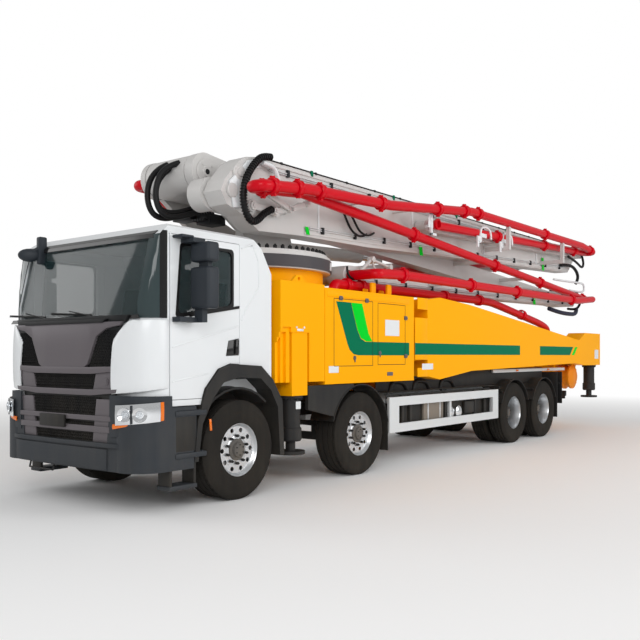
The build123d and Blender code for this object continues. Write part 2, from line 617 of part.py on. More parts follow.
with BuildPart() as bumper:
    extrude(front_plan(FRONT_OVERHANG, HALF_WIDTH - 10, 330, BUMPER_REAR), amount=LAMP_TOP)
    block((at(BUMPER_REAR) - 10, at(FRONT_OVERHANG) + 10), (-HALF_WIDTH, HALF_WIDTH),
          (-1, BUMPER_BOTTOM), mode=Mode.SUBTRACT)
    extrude(front_plan(FRONT_OVERHANG - 60, HALF_WIDTH - 70, 290, BUMPER_REAR - 20),
            amount=LAMP_TOP + 1, mode=Mode.SUBTRACT)
    cross_plate([(-GRILLE_HALF_BOTTOM - 8, GRILLE_BOTTOM - 8),
                 (GRILLE_HALF_BOTTOM + 8, GRILLE_BOTTOM - 8), (780, LAMP_TOP + 1),
                 (-780, LAMP_TOP + 1)],
                at(CAB_FACE - 100), at(FRONT_OVERHANG + 50), mode=Mode.SUBTRACT)
    block((at(BUMPER_REAR) - 10, at(DOOR_FRONT)), (-HALF_WIDTH, HALF_WIDTH),
          (CAB_SILL - 10, LAMP_TOP + 1), mode=Mode.SUBTRACT)
    for side in (1, -1):
        block((at(RAIL_FRONT - 120), at(FRONT_OVERHANG - 30)),
              (side * RAIL_OUTER_Y, side * (RAIL_OUTER_Y + 60)),
              (GRILLE_BOTTOM - 110, GRILLE_BOTTOM - 30))
        block((at(RAIL_FRONT - 120), at(RAIL_FRONT)),
              (side * RAIL_OUTER_Y, side * (RAIL_OUTER_Y + 15)),
              (GRILLE_BOTTOM - 110, RAIL_TOP - 60))
        for step_z in (BUMPER_BOTTOM, 730):
            block((at(BUMPER_REAR + 10), at(BUMPER_REAR + 400)),
                  (side * (HALF_WIDTH - 300), side * (HALF_WIDTH - 40)), (step_z, step_z + 40))
    add(cab_outer, mode=Mode.SUBTRACT)
    add(arch_room, mode=Mode.SUBTRACT)
save(bumper.part, "bumper")

MIRROR_X = (620, 740)
MIRROR_Y = (1270, 1520)
MIRROR_HEADS = ((2040, 2450), (2510, 2700))    # the main glass and the wide-angle glass above it

with BuildPart() as mirror_left:
    for z_low, z_high in MIRROR_HEADS:
        block((at(MIRROR_X[0]), at(MIRROR_X[1])), MIRROR_Y, (z_low, z_high))
    fillet(mirror_left.edges(), 22)
    block((at(650), at(710)), (1330, 1460), (MIRROR_HEADS[0][1] - 5, MIRROR_HEADS[1][0] + 5))
    block((at(690), at(850)), (CAB_HALF_WIDTH, 1400), (MIRROR_HEADS[1][1] - 5, 2740))
    block((at(690), at(960)), (CAB_HALF_WIDTH, 1330), (1900, 1950))
    block((at(660), at(730)), (1290, 1400), (1900, MIRROR_HEADS[0][0] + 5))
save(mirror_left.part, "mirror_left")
save(mirrored(mirror_left.part), "mirror_right")

# ============================ mudguards, tanks and side guards ==============================

STEER_GUARD_RADIUS = 642
DRIVE_GUARD_RADIUS = 592
GUARD_WALL = 12
GUARD_OUTER_Y = HALF_WIDTH - 5
# axle, radius inside, inner edge in Y, where the arc starts and ends in degrees from the front
MUDGUARDS = (
    (AXLE_2_X, STEER_GUARD_RADIUS, 870, 18, 170),
    (AXLE_3_X, DRIVE_GUARD_RADIUS, 600, 20, 160),
    (AXLE_4_X, DRIVE_GUARD_RADIUS, 600, 20, 160),
)
# dark panel ahead of the second axle's guard, seen from the side, and its mud flap
SIDE_PANEL = ((-1165, 1200), (-1165, 915), (-1688, 800), (-1784, 956), (-1956, 1101),
              (-2112, 1166), (-2112, 1200))
FLAP = (-2925, -2910)
FLAP_BOTTOM = 260


def arc_band(axle_x, radius_in, radius_out, start, end, y_low, y_high):
    """Part of a ring about a wheel's axis, from one angle to another (0 is forwards)."""
    def on_arc(radius, angle):
        turn = math.radians(angle)
        return (axle_x + radius * math.cos(turn), TYRE_RADIUS + radius * math.sin(turn))
    middle = (start + end) / 2
    with BuildSketch(Plane.XZ.offset(-y_low)) as face:
        with BuildLine():
            ThreePointArc(on_arc(radius_in, start), on_arc(radius_in, middle),
                          on_arc(radius_in, end))
            Line(on_arc(radius_in, end), on_arc(radius_out, end))
            ThreePointArc(on_arc(radius_out, end), on_arc(radius_out, middle),
                          on_arc(radius_out, start))
            Line(on_arc(radius_out, start), on_arc(radius_in, start))
        make_face()
    extrude(face.sketch, amount=-(y_high - y_low))


with BuildPart() as mudguards:
    for side in (1, -1):
        side_plate([(at(distance), height) for distance, height in ARCH_OUTER + ARCH_INNER],
                   *sorted((side * ARCH_BAND_Y, side * (HALF_WIDTH - 4))))
        side_plate([(at(distance), height) for distance, height in SIDE_PANEL],
                   *sorted((side * 1190, side * (HALF_WIDTH - 12))))
        block((at(FLAP[0]), at(FLAP[1])), (side * 880, side * (HALF_WIDTH - 12)), (FLAP_BOTTOM, 700))
        for axle_x, radius, inner_y, start, end in MUDGUARDS:
            arc_band(axle_x, radius, radius + GUARD_WALL, start, end,
                     *sorted((side * inner_y, side * GUARD_OUTER_Y)))
            for turn in (40, 140):
                tube_x = axle_x + (radius + GUARD_WALL) * math.cos(math.radians(turn))
                tube_z = TYRE_RADIUS + (radius + GUARD_WALL) * math.sin(math.radians(turn))
                tube_x += math.copysign(14, tube_x - axle_x)
                rod_y(tube_x, tube_z + 6, 18, *sorted((side * RAIL_OUTER_Y, side * (GUARD_OUTER_Y - 40))))
save(mudguards.part, "mudguards")

GUARD_FRONT = -2950
GUARD_REAR = -6400
GUARD_RAILS = ((490, 610), (860, 985))
GUARD_POSTS = (-3060, -4760, -6250)
TANKS = ((-4650, -3170), (-6130, -4880))
TANK_OUTER_Y = 1130
TANK_BOTTOM = 500
TANK_TOP = 1045

with BuildPart() as tanks_and_guards:
    for side in (1, -1):
        for rail_low, rail_high in GUARD_RAILS:
            block((at(GUARD_REAR), at(GUARD_FRONT)),
                  (side * (HALF_WIDTH - 40), side * (HALF_WIDTH - 5)), (rail_low, rail_high))
        for end, reach in ((GUARD_FRONT, -250), (GUARD_REAR, 210)):
            block((at(end), at(end + reach)), (side * (HALF_WIDTH - 40), side * (HALF_WIDTH - 5)),
                  (490, 985))
        for distance in GUARD_POSTS:
            block((at(distance) - 30, at(distance) + 30),
                  (side * (HALF_WIDTH - 80), side * (HALF_WIDTH - 40)), (490, 985))
            block((at(distance) - 30, at(distance) + 30),
                  (side * RAIL_OUTER_Y, side * (HALF_WIDTH - 60)), (900, 960))
        for rear, front in TANKS:
            with BuildSketch(Plane.YZ.offset(at(rear))) as tank_face:
                with Locations((side * (RAIL_OUTER_Y + TANK_OUTER_Y) / 2,
                                (TANK_BOTTOM + TANK_TOP) / 2)):
                    RectangleRounded(TANK_OUTER_Y - RAIL_OUTER_Y, TANK_TOP - TANK_BOTTOM, 110)
            extrude(tank_face.sketch, amount=front - rear)
save(tanks_and_guards.part, "tanks_and_guards")

# ============================ deck ==========================================================


def leg_sector(side, half_width, start, end, z_low, z_high):
    """A curved box of the front legs' arc, from one angle to another."""
    centre_x, centre_y = at(LEG_CENTRE_X), -side * LEG_CENTRE_Y

    def on_arc(radius, angle):
        turn = math.radians(angle)
        return (centre_x + radius * math.cos(turn), centre_y + side * radius * math.sin(turn))
    middle = (start + end) / 2
    with BuildSketch(Plane.XY.offset(z_low)) as face:
        with BuildLine():
            for radius, first, last in ((LEG_RADIUS - half_width, start, end),
                                        (LEG_RADIUS + half_width, end, start)):
                ThreePointArc(on_arc(radius, first), on_arc(radius, middle), on_arc(radius, last))
            for angle in (start, end):
                Line(on_arc(LEG_RADIUS - half_width, angle), on_arc(LEG_RADIUS + half_width, angle))
        make_face()
    extrude(face.sketch, amount=z_high - z_low)


def leg_channel(side):
    """The room that a front leg slides through, with its clearance."""
    with BuildPart() as room:
        leg_sector(side, LEG_HALF_WIDTH + LEG_CLEARANCE, LEG_TIP_ANGLE - 12,
                   LEG_TAIL_ANGLE + 1, LEG_BOTTOM[side] - SEAT_GAP,
                   LEG_BOTTOM[side] + LEG_DEPTH + LEG_CLEARANCE)
    return room.part


channels = {side: leg_channel(side) for side in (1, -1)}
SUBFRAME_Y = (300, 420)

with BuildPart() as deck:
    block((at(DECK_REAR), at(BOX_FRONT)), (-HALF_WIDTH, HALF_WIDTH), (DECK_BOTTOM, DECK_TOP))
    block((at(BOX_FRONT) - 10, at(DECK_FRONT)), (-HOUSING_HALF_WIDTH, HOUSING_HALF_WIDTH),
          (DECK_BOTTOM, 2340))
    rod_z(at(SLEW_X), 0, PEDESTAL_RADIUS, 2340, PEDESTAL_TOP)
    for side in (1, -1):
        block((at(RAIL_REAR), at(-600)), (side * SUBFRAME_Y[0], side * SUBFRAME_Y[1]),
              (RAIL_TOP, DECK_BOTTOM + 5))
        for z_low, z_high in LUG_LEVELS:
            block((at(BEAM_HINGE_X), at(DECK_REAR) + 5),
                  (side * (BEAM_HINGE_Y - BEAM_EYE_RADIUS), side * (BEAM_HINGE_Y + BEAM_EYE_RADIUS)),
                  (z_low, z_high))
            rod_z(at(BEAM_HINGE_X), side * BEAM_HINGE_Y, BEAM_EYE_RADIUS, z_low, z_high)
            rod_z(at(BEAM_HINGE_X), side * BEAM_HINGE_Y, BEAM_PIN_RADIUS + RUNNING_FIT,
                  z_low, z_high, mode=Mode.SUBTRACT)
    for distance in (-5200, -7780, RAIL_REAR + 100):
        block((at(distance) - 60, at(distance) + 60), (-SUBFRAME_Y[1], SUBFRAME_Y[1]),
              (RAIL_TOP, RAIL_TOP + 90))
    for side in (1, -1):
        add(channels[side], mode=Mode.SUBTRACT)
    rod_z(at(SLEW_X), 0, SPIGOT_RADIUS + RUNNING_FIT, PEDESTAL_TOP - 250, PEDESTAL_TOP,
          mode=Mode.SUBTRACT)
save(deck.part, "deck")

for name, side in (("left", 1), ("right", -1)):
    with BuildPart() as front_leg:
        leg_sector(side, LEG_HALF_WIDTH, LEG_TIP_ANGLE, LEG_TAIL_ANGLE,
                   LEG_BOTTOM[side], LEG_BOTTOM[side] + LEG_DEPTH)
        block((at(HEAD_REAR), at(HEAD_FRONT)), (side * HEAD_INNER_Y, side * HALF_WIDTH),
              (HEAD_BOTTOM, HEAD_TOP))
        side_plate([(at(JACK_X - 130), HEAD_TOP - 1), (at(JACK_X - 45), HEAD_TOP + 80),
                    (at(JACK_X + 45), HEAD_TOP + 80), (at(JACK_X + 130), HEAD_TOP - 1)],
                   *sorted((side * (HALF_WIDTH - 60), side * (HALF_WIDTH - 20))))
        rod_y(at(JACK_X), HEAD_TOP + 40, 22,
              *sorted((side * (HALF_WIDTH - 70), side * (HALF_WIDTH - 10))), mode=Mode.SUBTRACT)
        for reach, depth, height in HEAD_STEPS:
            side_plate([(at(HEAD_FRONT) + 1, HEAD_BOTTOM - 1), (at(HEAD_FRONT) + 1, height - 60),
                        (at(HEAD_FRONT) - 50, height), (at(HEAD_FRONT) - reach, height),
                        (at(HEAD_FRONT) - reach, HEAD_BOTTOM - 1)],
                       *sorted((side * (HALF_WIDTH - depth), side * (HALF_WIDTH + 1))),
                       mode=Mode.SUBTRACT)
        block((at(JACK_X) - JACK_BOX / 2 - 25, at(JACK_X) + JACK_BOX / 2 + 25),
              (side * (HEAD_INNER_Y - 1), side * (HALF_WIDTH + 1)), (HEAD_BOTTOM - 1, 1840),
              mode=Mode.SUBTRACT)
        block((at(JACK_X) - JACK_BOX / 2, at(JACK_X) + JACK_BOX / 2),
              (side * (JACK_Y - JACK_BOX / 2), side * (JACK_Y + JACK_BOX / 2)),
              (JACK_BOX_BOTTOM, JACK_BOX_TOP))
        rod_z(at(JACK_X), side * JACK_Y, JACK_CASING_RADIUS, JACK_CASING_BOTTOM,
              JACK_BOX_BOTTOM + 1)
        rod_z(at(JACK_X), side * JACK_Y, JACK_ROD_RADIUS + RUNNING_FIT, JACK_CASING_BOTTOM,
              JACK_BOX_TOP - 20, mode=Mode.SUBTRACT)
    save(front_leg.part, f"front_leg_{name}")
    with BuildPart() as front_jack:
        rod_z(at(JACK_X), side * JACK_Y, JACK_ROD_RADIUS, FRONT_FOOT_Z + FOOT_THICKNESS,
              JACK_BOX_TOP - 25)
        rod_z(at(JACK_X), side * JACK_Y, FOOT_RADIUS, FRONT_FOOT_Z,
              FRONT_FOOT_Z + FOOT_THICKNESS)
    save(front_jack.part, f"front_jack_{name}")

# Rear swing beam, seen from the side: (distance from axle 1, height), lower edge then upper.
BEAM_OUTLINE = (
    (-3980, 1260), (-4350, 1205), (-5400, 1320), (BEAM_REAR + 1570, 1410),
    (BEAM_REAR + 970, 1360), (BEAM_REAR, 1360), (BEAM_REAR, 2060), (BEAM_REAR + 970, 2060),
    (BEAM_REAR + 1310, 1900), (BEAM_REAR + 1570, 1920), (-5340, 2390), (-4350, 2450), (-3980, 2400),
)
BEAM_NECK = (LUG_LEVELS[0][1] + SEAT_GAP, LUG_LEVELS[1][0] - MOVING_GAP)

with BuildPart() as rear_leg:
    side_plate([(at(distance), height) for distance, height in BEAM_OUTLINE],
               BEAM_INNER_Y, HALF_WIDTH)
    block((at(-4000), at(BEAM_HINGE_X)),
          (BEAM_HINGE_Y - BEAM_EYE_RADIUS, BEAM_HINGE_Y + BEAM_EYE_RADIUS), BEAM_NECK)
    rod_z(at(BEAM_HINGE_X), BEAM_HINGE_Y, BEAM_EYE_RADIUS, *BEAM_NECK)
    rod_z(at(BEAM_HINGE_X), BEAM_HINGE_Y, BEAM_PIN_RADIUS, LUG_LEVELS[0][0] - 15,
          LUG_LEVELS[1][1] + 15)
    rod_z(at(REAR_JACK_X), REAR_JACK_Y, JACK_CASING_RADIUS, REAR_CASING_BOTTOM, 1361)
    rod_z(at(REAR_JACK_X), REAR_JACK_Y, JACK_ROD_RADIUS + RUNNING_FIT, REAR_CASING_BOTTOM,
          REAR_JACK_TOP, mode=Mode.SUBTRACT)
save(rear_leg.part, "rear_leg_left")
save(mirrored(rear_leg.part), "rear_leg_right")

with BuildPart() as rear_jack:
    rod_z(at(REAR_JACK_X), REAR_JACK_Y, JACK_ROD_RADIUS, REAR_FOOT_Z + FOOT_THICKNESS,
          REAR_JACK_TOP - 5)
    rod_z(at(REAR_JACK_X), REAR_JACK_Y, FOOT_RADIUS, REAR_FOOT_Z, REAR_FOOT_Z + FOOT_THICKNESS)
save(rear_jack.part, "rear_jack_left")
save(mirrored(rear_jack.part), "rear_jack_right")

# ============================ pump, hopper and deck line ====================================

HOPPER_FACE = REAR_END + 1460
HOPPER_TOP = 1560
HOPPER_BOTTOM = 720
HOPPER_WALL = 14


def hopper_form(inset):
    with BuildPart() as form:
        with BuildSketch(Plane.XY.offset(HOPPER_BOTTOM + inset)) as low:
            with Locations((at(REAR_END + 1110), 0)):
                Rectangle(700 - 2 * inset, 900 - 2 * inset)
        with BuildSketch(Plane.XY.offset(1250)) as middle:
            with Locations((at(REAR_END + 810), 0)):
                Rectangle(1300 - 2 * inset, 1460 - 2 * inset)
        with BuildSketch(Plane.XY.offset(HOPPER_TOP)) as high:
            with Locations((at(REAR_END + 760), 0)):
                Rectangle(1400 - 2 * inset, 1560 - 2 * inset)
        loft([low.sketch, middle.sketch, high.sketch], ruled=True)
    return form.part


hopper_outer = hopper_form(0)
hopper_inner = hopper_form(HOPPER_WALL)
PUMP_Y = 190
PUMP_Z = 1352
PUMP_RADIUS = 130

with BuildPart() as hopper:
    add(hopper_outer)
    add(hopper_inner, mode=Mode.SUBTRACT)
    for side in (1, -1):
        block((at(HOPPER_FACE - 30), at(RAIL_REAR)), (side * SUBFRAME_Y[0], side * SUBFRAME_Y[1]),
              (RAIL_TOP - 200, DECK_BOTTOM + 60))
        rod_between((at(HOPPER_FACE - 30), side * PUMP_Y, PUMP_Z), (at(-6700), side * PUMP_Y, PUMP_Z + 40),
                    PUMP_RADIUS)
    block((at(-8350), at(-7950)), (-330, 330), (DECK_BOTTOM + 5, 1500))
save(hopper.part, "hopper")

LINE_Y = 800
LINE_Z = 2535
LINE_FRONT = -2200
OUTLET_Z = 1420


def pipe_run(points, radii, radius):
    """A round pipe along straight runs joined by arcs."""
    with BuildLine() as route:
        FilletPolyline(*points, radius=radii)
    start = route.line @ 0
    with BuildSketch(Plane(origin=start, z_dir=route.line % 0)) as ring:
        Circle(radius)
    sweep(ring.sketch, path=route.line)


with BuildPart() as deck_pipe:
    pipe_run([(at(LINE_FRONT - 150), LINE_Y, LINE_Z), (at(-7000), LINE_Y, LINE_Z + 20),
              (at(REAR_END + 1960), LINE_Y, 2190), (at(REAR_END + 1680), 640, OUTLET_Z),
              (at(HOPPER_FACE), 640, OUTLET_Z)],
             [700, 350, 150], PIPE_RADIUS)
    block((at(LINE_FRONT - 150), at(LINE_FRONT)), (LINE_Y - 90, LINE_Y + 90),
          (DECK_TOP, LINE_Z + 80))
save(deck_pipe.part, "deck_pipe")

# ============================ turret and boom ===============================================

TURRET_PLATES = ((-800, -715), (15, 148))
TURRET_HUB = 235
FLANGE_TOP = RING_TOP + 35
# the two neck plates, seen from the side: (distance from axle 1, height)
NECK_OUTLINE = ((-1200, FLANGE_TOP - 20), (-1170, 3190), (-900, 3370), (-600, 3590),
                (J01[0] + 60, J01[1] - TURRET_HUB + 5), (J01[0], J01[1] + TURRET_HUB - 3),
                (-990, 4000), (-1150, 3780), (-1560, 3480), (-2080, 3300), (-2150, 3120),
                (-2440, FLANGE_TOP + 60), (-2440, FLANGE_TOP - 20))

with BuildPart() as turret:
    rod_z(at(SLEW_X), 0, RING_RADIUS, PEDESTAL_TOP + SEAT_GAP, RING_TOP)
    rod_z(at(SLEW_X), 0, RING_RADIUS - 40, RING_TOP, FLANGE_TOP)
    rod_z(at(SLEW_X), 0, SPIGOT_RADIUS, PEDESTAL_TOP - 240, RING_TOP)
    for y_low, y_high in TURRET_PLATES:
        side_plate([(at(distance), height) for distance, height in NECK_OUTLINE], y_low, y_high)
        rod_y(*placed(J01), TURRET_HUB, y_low, y_high)
        rod_y(*placed(J01), HUB_PIN + RUNNING_FIT, y_low - 1, y_high + 1, mode=Mode.SUBTRACT)
    for y_low, y_high in ((LIFT_Y - 150, LIFT_Y - 110), (LIFT_Y + 110, LIFT_Y + 150)):
        side_plate([(at(LIFT_FOOT[0] - 120), FLANGE_TOP - 20), (at(LIFT_FOOT[0] + 120), FLANGE_TOP - 20),
                    (at(LIFT_FOOT[0] + 70), LIFT_FOOT[1] + 60), (at(LIFT_FOOT[0] - 70), LIFT_FOOT[1] + 60)],
                   y_low, y_high)
    rod_y(*placed(LIFT_FOOT), 40, LIFT_Y - 150, LIFT_Y + 150)
save(turret.part, "turret")

with BuildPart() as turret_pipe:
    pipe_run([(at(SLEW_X), -INNER_PIPE_Y, FLANGE_TOP), (at(SLEW_X), -INNER_PIPE_Y, FLANGE_TOP + 420),
              (at(J01[0]), -INNER_PIPE_Y, J01[1]), (at(J01[0]), -SWIVEL_Y + SEAT_GAP / 2, J01[1])],
             [200, 85], PIPE_RADIUS)
save(turret_pipe.part, "turret_pipe")

lift_run = Vector(LIFT_EYE[0] - LIFT_FOOT[0], 0, LIFT_EYE[1] - LIFT_FOOT[1])
lift_way = lift_run.normalized()
lift_foot = Vector(at(LIFT_FOOT[0]), LIFT_Y, LIFT_FOOT[1])
lift_eye = Vector(at(LIFT_EYE[0]), LIFT_Y, LIFT_EYE[1])
BARREL_LENGTH = 2750
ROD_LENGTH = 2600
EYE_RADIUS = 95
EYE_HALF_WIDTH = 66

with BuildPart() as lift_barrel:
    rod_y(*placed(LIFT_FOOT), EYE_RADIUS, LIFT_Y - EYE_HALF_WIDTH, LIFT_Y + EYE_HALF_WIDTH)
    rod_between(tuple(lift_foot + lift_way * 60), tuple(lift_foot + lift_way * BARREL_LENGTH),
                LIFT_BARREL)
    rod_between(tuple(lift_foot + lift_way * (BARREL_LENGTH - ROD_LENGTH + 100)),
                tuple(lift_foot + lift_way * (BARREL_LENGTH + 1)), LIFT_ROD + RUNNING_FIT,
                mode=Mode.SUBTRACT)
    rod_y(*placed(LIFT_FOOT), 40 + RUNNING_FIT, LIFT_Y - 200, LIFT_Y + 200, mode=Mode.SUBTRACT)
save(lift_barrel.part, "lift_barrel")

with BuildPart() as lift_rod:
    rod_between(tuple(lift_eye - lift_way * ROD_LENGTH), tuple(lift_eye - lift_way * 70), LIFT_ROD)
    rod_y(*placed(LIFT_EYE), EYE_RADIUS, LIFT_Y - EYE_HALF_WIDTH, LIFT_Y + EYE_HALF_WIDTH)
    rod_y(*placed(LIFT_EYE), 45, LIFT_Y - EYE_HALF_WIDTH - 1, LIFT_Y + EYE_HALF_WIDTH + 1,
          mode=Mode.SUBTRACT)
save(lift_rod.part, "lift_rod")


def girder(root, tip, slab, root_depth, tip_depth, root_hub, tip_hub):
    """A tapered box section between two hinge hubs, in its own slab of Y."""
    (root_x, root_z), (tip_x, tip_z) = placed(root), placed(tip)
    side_plate([(root_x, root_z + root_depth / 2), (tip_x, tip_z + tip_depth / 2),
                (tip_x, tip_z - tip_depth / 2), (root_x, root_z - root_depth / 2)], *slab)
    rod_y(root_x, root_z, root_hub, *slab)
    rod_y(tip_x, tip_z, tip_hub, *slab)


def bored(point, radius, slab):
    """A bore through a hub."""
    rod_y(*placed(point), radius, slab[0] - 1, slab[1] + 1, mode=Mode.SUBTRACT)


# Delivery pipes: each section's own pipe, with the corners of its route from hinge to hinge.
ELBOW = 85
MOUTH_BEND = 75
MOUTH_Y = OUTER_PIPE_Y - PIPE_RADIUS - 5    # the open end stays inside the fifth pipe
MOUTH_BORE_DEPTH = 55
S = SEAT_GAP / 2


def on(point, y):
    """A route point at a hinge or height pair, at Y."""
    return (at(point[0]), y, point[1])


PIPE_ROUTES = {
    "pipe_1": ([on(J01, -SWIVEL_Y - S), on(J01, -OUTER_PIPE_Y), on(J12, -OUTER_PIPE_Y),
                on(J12, -SWIVEL_Y - S)], [ELBOW, ELBOW]),
    "pipe_2": ([on(J12, -SWIVEL_Y + S), on(J12, 60), on(J23, 60), on(J23, SWIVEL_Y - S)],
               [ELBOW, ELBOW]),
    "pipe_3": ([on(J23, SWIVEL_Y + S), on(J23, OUTER_PIPE_Y), on((-3300, 2720), OUTER_PIPE_Y),
                on((J34[0] + 1000, 2745), OUTER_PIPE_Y), on(J34, OUTER_PIPE_Y), on(J34, SWIVEL_Y + S)],
               [ELBOW, 400, 400, ELBOW]),
    "pipe_4": ([on(J34, SWIVEL_Y - S), on(J34, INNER_PIPE_Y), on((-1350, 3590), INNER_PIPE_Y),
                on(J45, INNER_PIPE_Y), on(J45, SWIVEL_Y - S)], [ELBOW, 400, ELBOW]),
    "pipe_5": ([on(J45, SWIVEL_Y + S), on(J45, OUTER_PIPE_Y), on((-1250, 3590), OUTER_PIPE_Y),
                on((-3100, 3675), OUTER_PIPE_Y), on((-5550, 3940), OUTER_PIPE_Y),
                on((J56[0] + 750, 3950), OUTER_PIPE_Y), on(J56, OUTER_PIPE_Y),
                on(J56, SWIVEL_Y + S)], [ELBOW, 600, 600, 600, 400, ELBOW]),
    "pipe_6": ([on(J56, SWIVEL_Y - S), on(J56, INNER_PIPE_Y), on(BOOM_TIP, INNER_PIPE_Y),
                on(BOOM_TIP, MOUTH_Y)], [ELBOW, MOUTH_BEND]),
}
ARM_WIDTH = 70
ARM_DEPTH = 60


def pipe_room(name):
    """The room that a section's own pipe takes in the brackets that carry it."""
    points, radii = PIPE_ROUTES[name]
    with BuildPart() as room:
        pipe_run(points, radii, PIPE_RADIUS + SEAT_GAP)
    return room.part


def pipe_arm(name, distance, y_root):
    """A bracket from a section's side face out to the middle of its pipe."""
    points = PIPE_ROUTES[name][0]
    x = at(distance)
    for before, after in zip(points, points[1:]):
        if min(before[0], after[0]) <= x <= max(before[0], after[0]) and before[0] != after[0]:
            share = (x - before[0]) / (after[0] - before[0])
            height = before[2] + share * (after[2] - before[2])
            block((x - ARM_WIDTH / 2, x + ARM_WIDTH / 2), (y_root, before[1]),
                  (height - ARM_DEPTH / 2, height + ARM_DEPTH / 2))


# Clamped couplings between lengths of pipe: distances from axle 1.
COUPLINGS = {
    "pipe_1": (-2100, -4600, -7200, -9700), "pipe_2": (),
    "pipe_3": (-5530, -7350, -10100), "pipe_4": (-4020, -6810, -8860, -11250),
    "pipe_5": (-1050, -2850, -4430, -5300, -5790, -8670, -11230), "pipe_6": (-6890, -9060, -10700),
}
COUPLING_RADIUS = 85
COUPLING_LENGTH = 105


def coupling(name, distance):
    """The ring of a coupling around a section's own pipe."""
    points = PIPE_ROUTES[name][0]
    x = at(distance)
    for before, after in zip(points, points[1:]):
        if min(before[0], after[0]) <= x <= max(before[0], after[0]) and before[0] != after[0]:
            way = (Vector(*after) - Vector(*before)).normalized()
            middle = Vector(*before) + way * ((x - before[0]) / way.X)
            rod_between(tuple(middle - way * (COUPLING_LENGTH / 2)),
                        tuple(middle + way * (COUPLING_LENGTH / 2)), COUPLING_RADIUS)


with BuildPart() as boom_1:
    girder(J01, J12, SLAB_1, 460, 400, 230, 200)
    rod_y(*placed(J01), 230, SLAB_1[0], 0)
    rod_y(*placed(J01), HUB_PIN, TURRET_PLATES[0][0] - 10, TURRET_PLATES[1][1])
    bored(J12, PIPE_AXLE + RUNNING_FIT, SLAB_1)
    lug_x = at(LIFT_EYE[0])
    for y_low, y_high in ((LIFT_Y - 120, LIFT_Y - 80), (LIFT_Y + 80, LIFT_Y + 120)):
        side_plate([(lug_x - 200, 3560), (lug_x + 200, 3560), (lug_x + 80, LIFT_EYE[1] - 90),
                    (lug_x - 80, LIFT_EYE[1] - 90)], y_low, y_high)
    for distance in (-2900, -5600, -8300):
        pipe_arm("pipe_1", distance, SLAB_1[0])
    add(pipe_room("pipe_1"), mode=Mode.SUBTRACT)
save(boom_1.part, "boom_1")

with BuildPart() as boom_2:
    girder(J12, J23, SLAB_2, 360, 260, 180, 135)
    rod_y(*placed(J12), PIPE_AXLE, SLAB_1[0] - 12, SLAB_2[0])
    rod_y(*placed(J23), PIPE_AXLE, SLAB_2[1], SLAB_3[1] + 12)
    rod_y(*placed(J12), PIPE_AXLE_BORE, SLAB_1[0] - 20, SLAB_2[1] + 1, mode=Mode.SUBTRACT)
    rod_y(*placed(J23), PIPE_AXLE_BORE, SLAB_2[1], SLAB_3[1] + 20, mode=Mode.SUBTRACT)
    block((at(J23[0]) - PIPE_AXLE - 5, at(J23[0]) + 20), (SLAB_2[1] + 2, SLAB_4[0]),
          (J23[1] - 90, J23[1] + PIPE_AXLE + 5), mode=Mode.SUBTRACT)
save(boom_2.part, "boom_2")

with BuildPart() as boom_3:
    girder(J23, J34, SLAB_3, 290, 290, 140, 145)
    bored(J23, PIPE_AXLE + RUNNING_FIT, SLAB_3)
    bored(J34, HUB_PIN + RUNNING_FIT, SLAB_3)
    for distance in (-5000, -8300):
        pipe_arm("pipe_3", distance, SLAB_3[1])
    add(pipe_room("pipe_3"), mode=Mode.SUBTRACT)
save(boom_3.part, "boom_3")

with BuildPart() as boom_4:
    girder(J34, J45, SLAB_4, 290, 300, 145, 200)
    rod_y(*placed(J34), HUB_PIN, SLAB_4[1], SLAB_3[1] + 12)
    bored(J45, HUB_PIN + RUNNING_FIT, SLAB_4)
    for distance in (-6400, -8300):
        pipe_arm("pipe_4", distance, SLAB_4[1])
    add(pipe_room("pipe_4"), mode=Mode.SUBTRACT)
save(boom_4.part, "boom_4")

# Fifth section, seen from the side: the deep girder that closes the folded pack on the left.
BOOM_5_OUTLINE = (
    (-230, 3480), (-300, 3620), (-520, 3860), (-660, 3945), (-830, 3975), (J56[0] + 350, 3975),
    (J56[0] + 60, 3965), (J56[0] - 110, 3910), (J56[0] - 110, 3790), (J56[0] + 300, 3440),
    (-5500, 3240), (-3200, 3140), (-1700, 3125), (-880, 3085), (-600, 3240), (-330, 3330),
)

with BuildPart() as boom_5:
    side_plate([(at(distance), height) for distance, height in BOOM_5_OUTLINE], *SLAB_5)
    rod_y(*placed(J45), HUB_PIN, SLAB_4[0] - 10, SLAB_5[0])
    bored(J56, HUB_PIN - 30 + RUNNING_FIT, SLAB_5)
    for distance in (-2500, -3900):
        pipe_arm("pipe_5", distance, SLAB_5[1])
    for distance in (-7000, -9600):
        block((at(distance) - 35, at(distance) + 35), (SLAB_5[1], OUTER_PIPE_Y + 25),
              (3470, 3540))
        block((at(distance) - 35, at(distance) + 35), (OUTER_PIPE_Y - 40, OUTER_PIPE_Y + 25),
              (3470, 3900))
    add(pipe_room("pipe_5"), mode=Mode.SUBTRACT)
save(boom_5.part, "boom_5")

with BuildPart() as boom_6:
    girder(J56, BOOM_TIP, SLAB_6, 230, 170, 115, 85)
    rod_y(*placed(J56), HUB_PIN - 30, SLAB_5[0] - 10, SLAB_6[0])
    for distance in (-5000, -7800, -10200):
        pipe_arm("pipe_6", distance, SLAB_6[1])
    add(pipe_room("pipe_6"), mode=Mode.SUBTRACT)
save(boom_6.part, "boom_6")

for name, (points, radii) in PIPE_ROUTES.items():
    with BuildPart() as pipe:
        pipe_run(points, radii, PIPE_RADIUS)
        for distance in COUPLINGS[name]:
            coupling(name, distance)
        if name == "pipe_6":
            rod_y(*placed(BOOM_TIP), PIPE_BORE, MOUTH_Y - MOUTH_BORE_DEPTH, MOUTH_Y + 1,
                  mode=Mode.SUBTRACT)
    save(pipe.part, name)
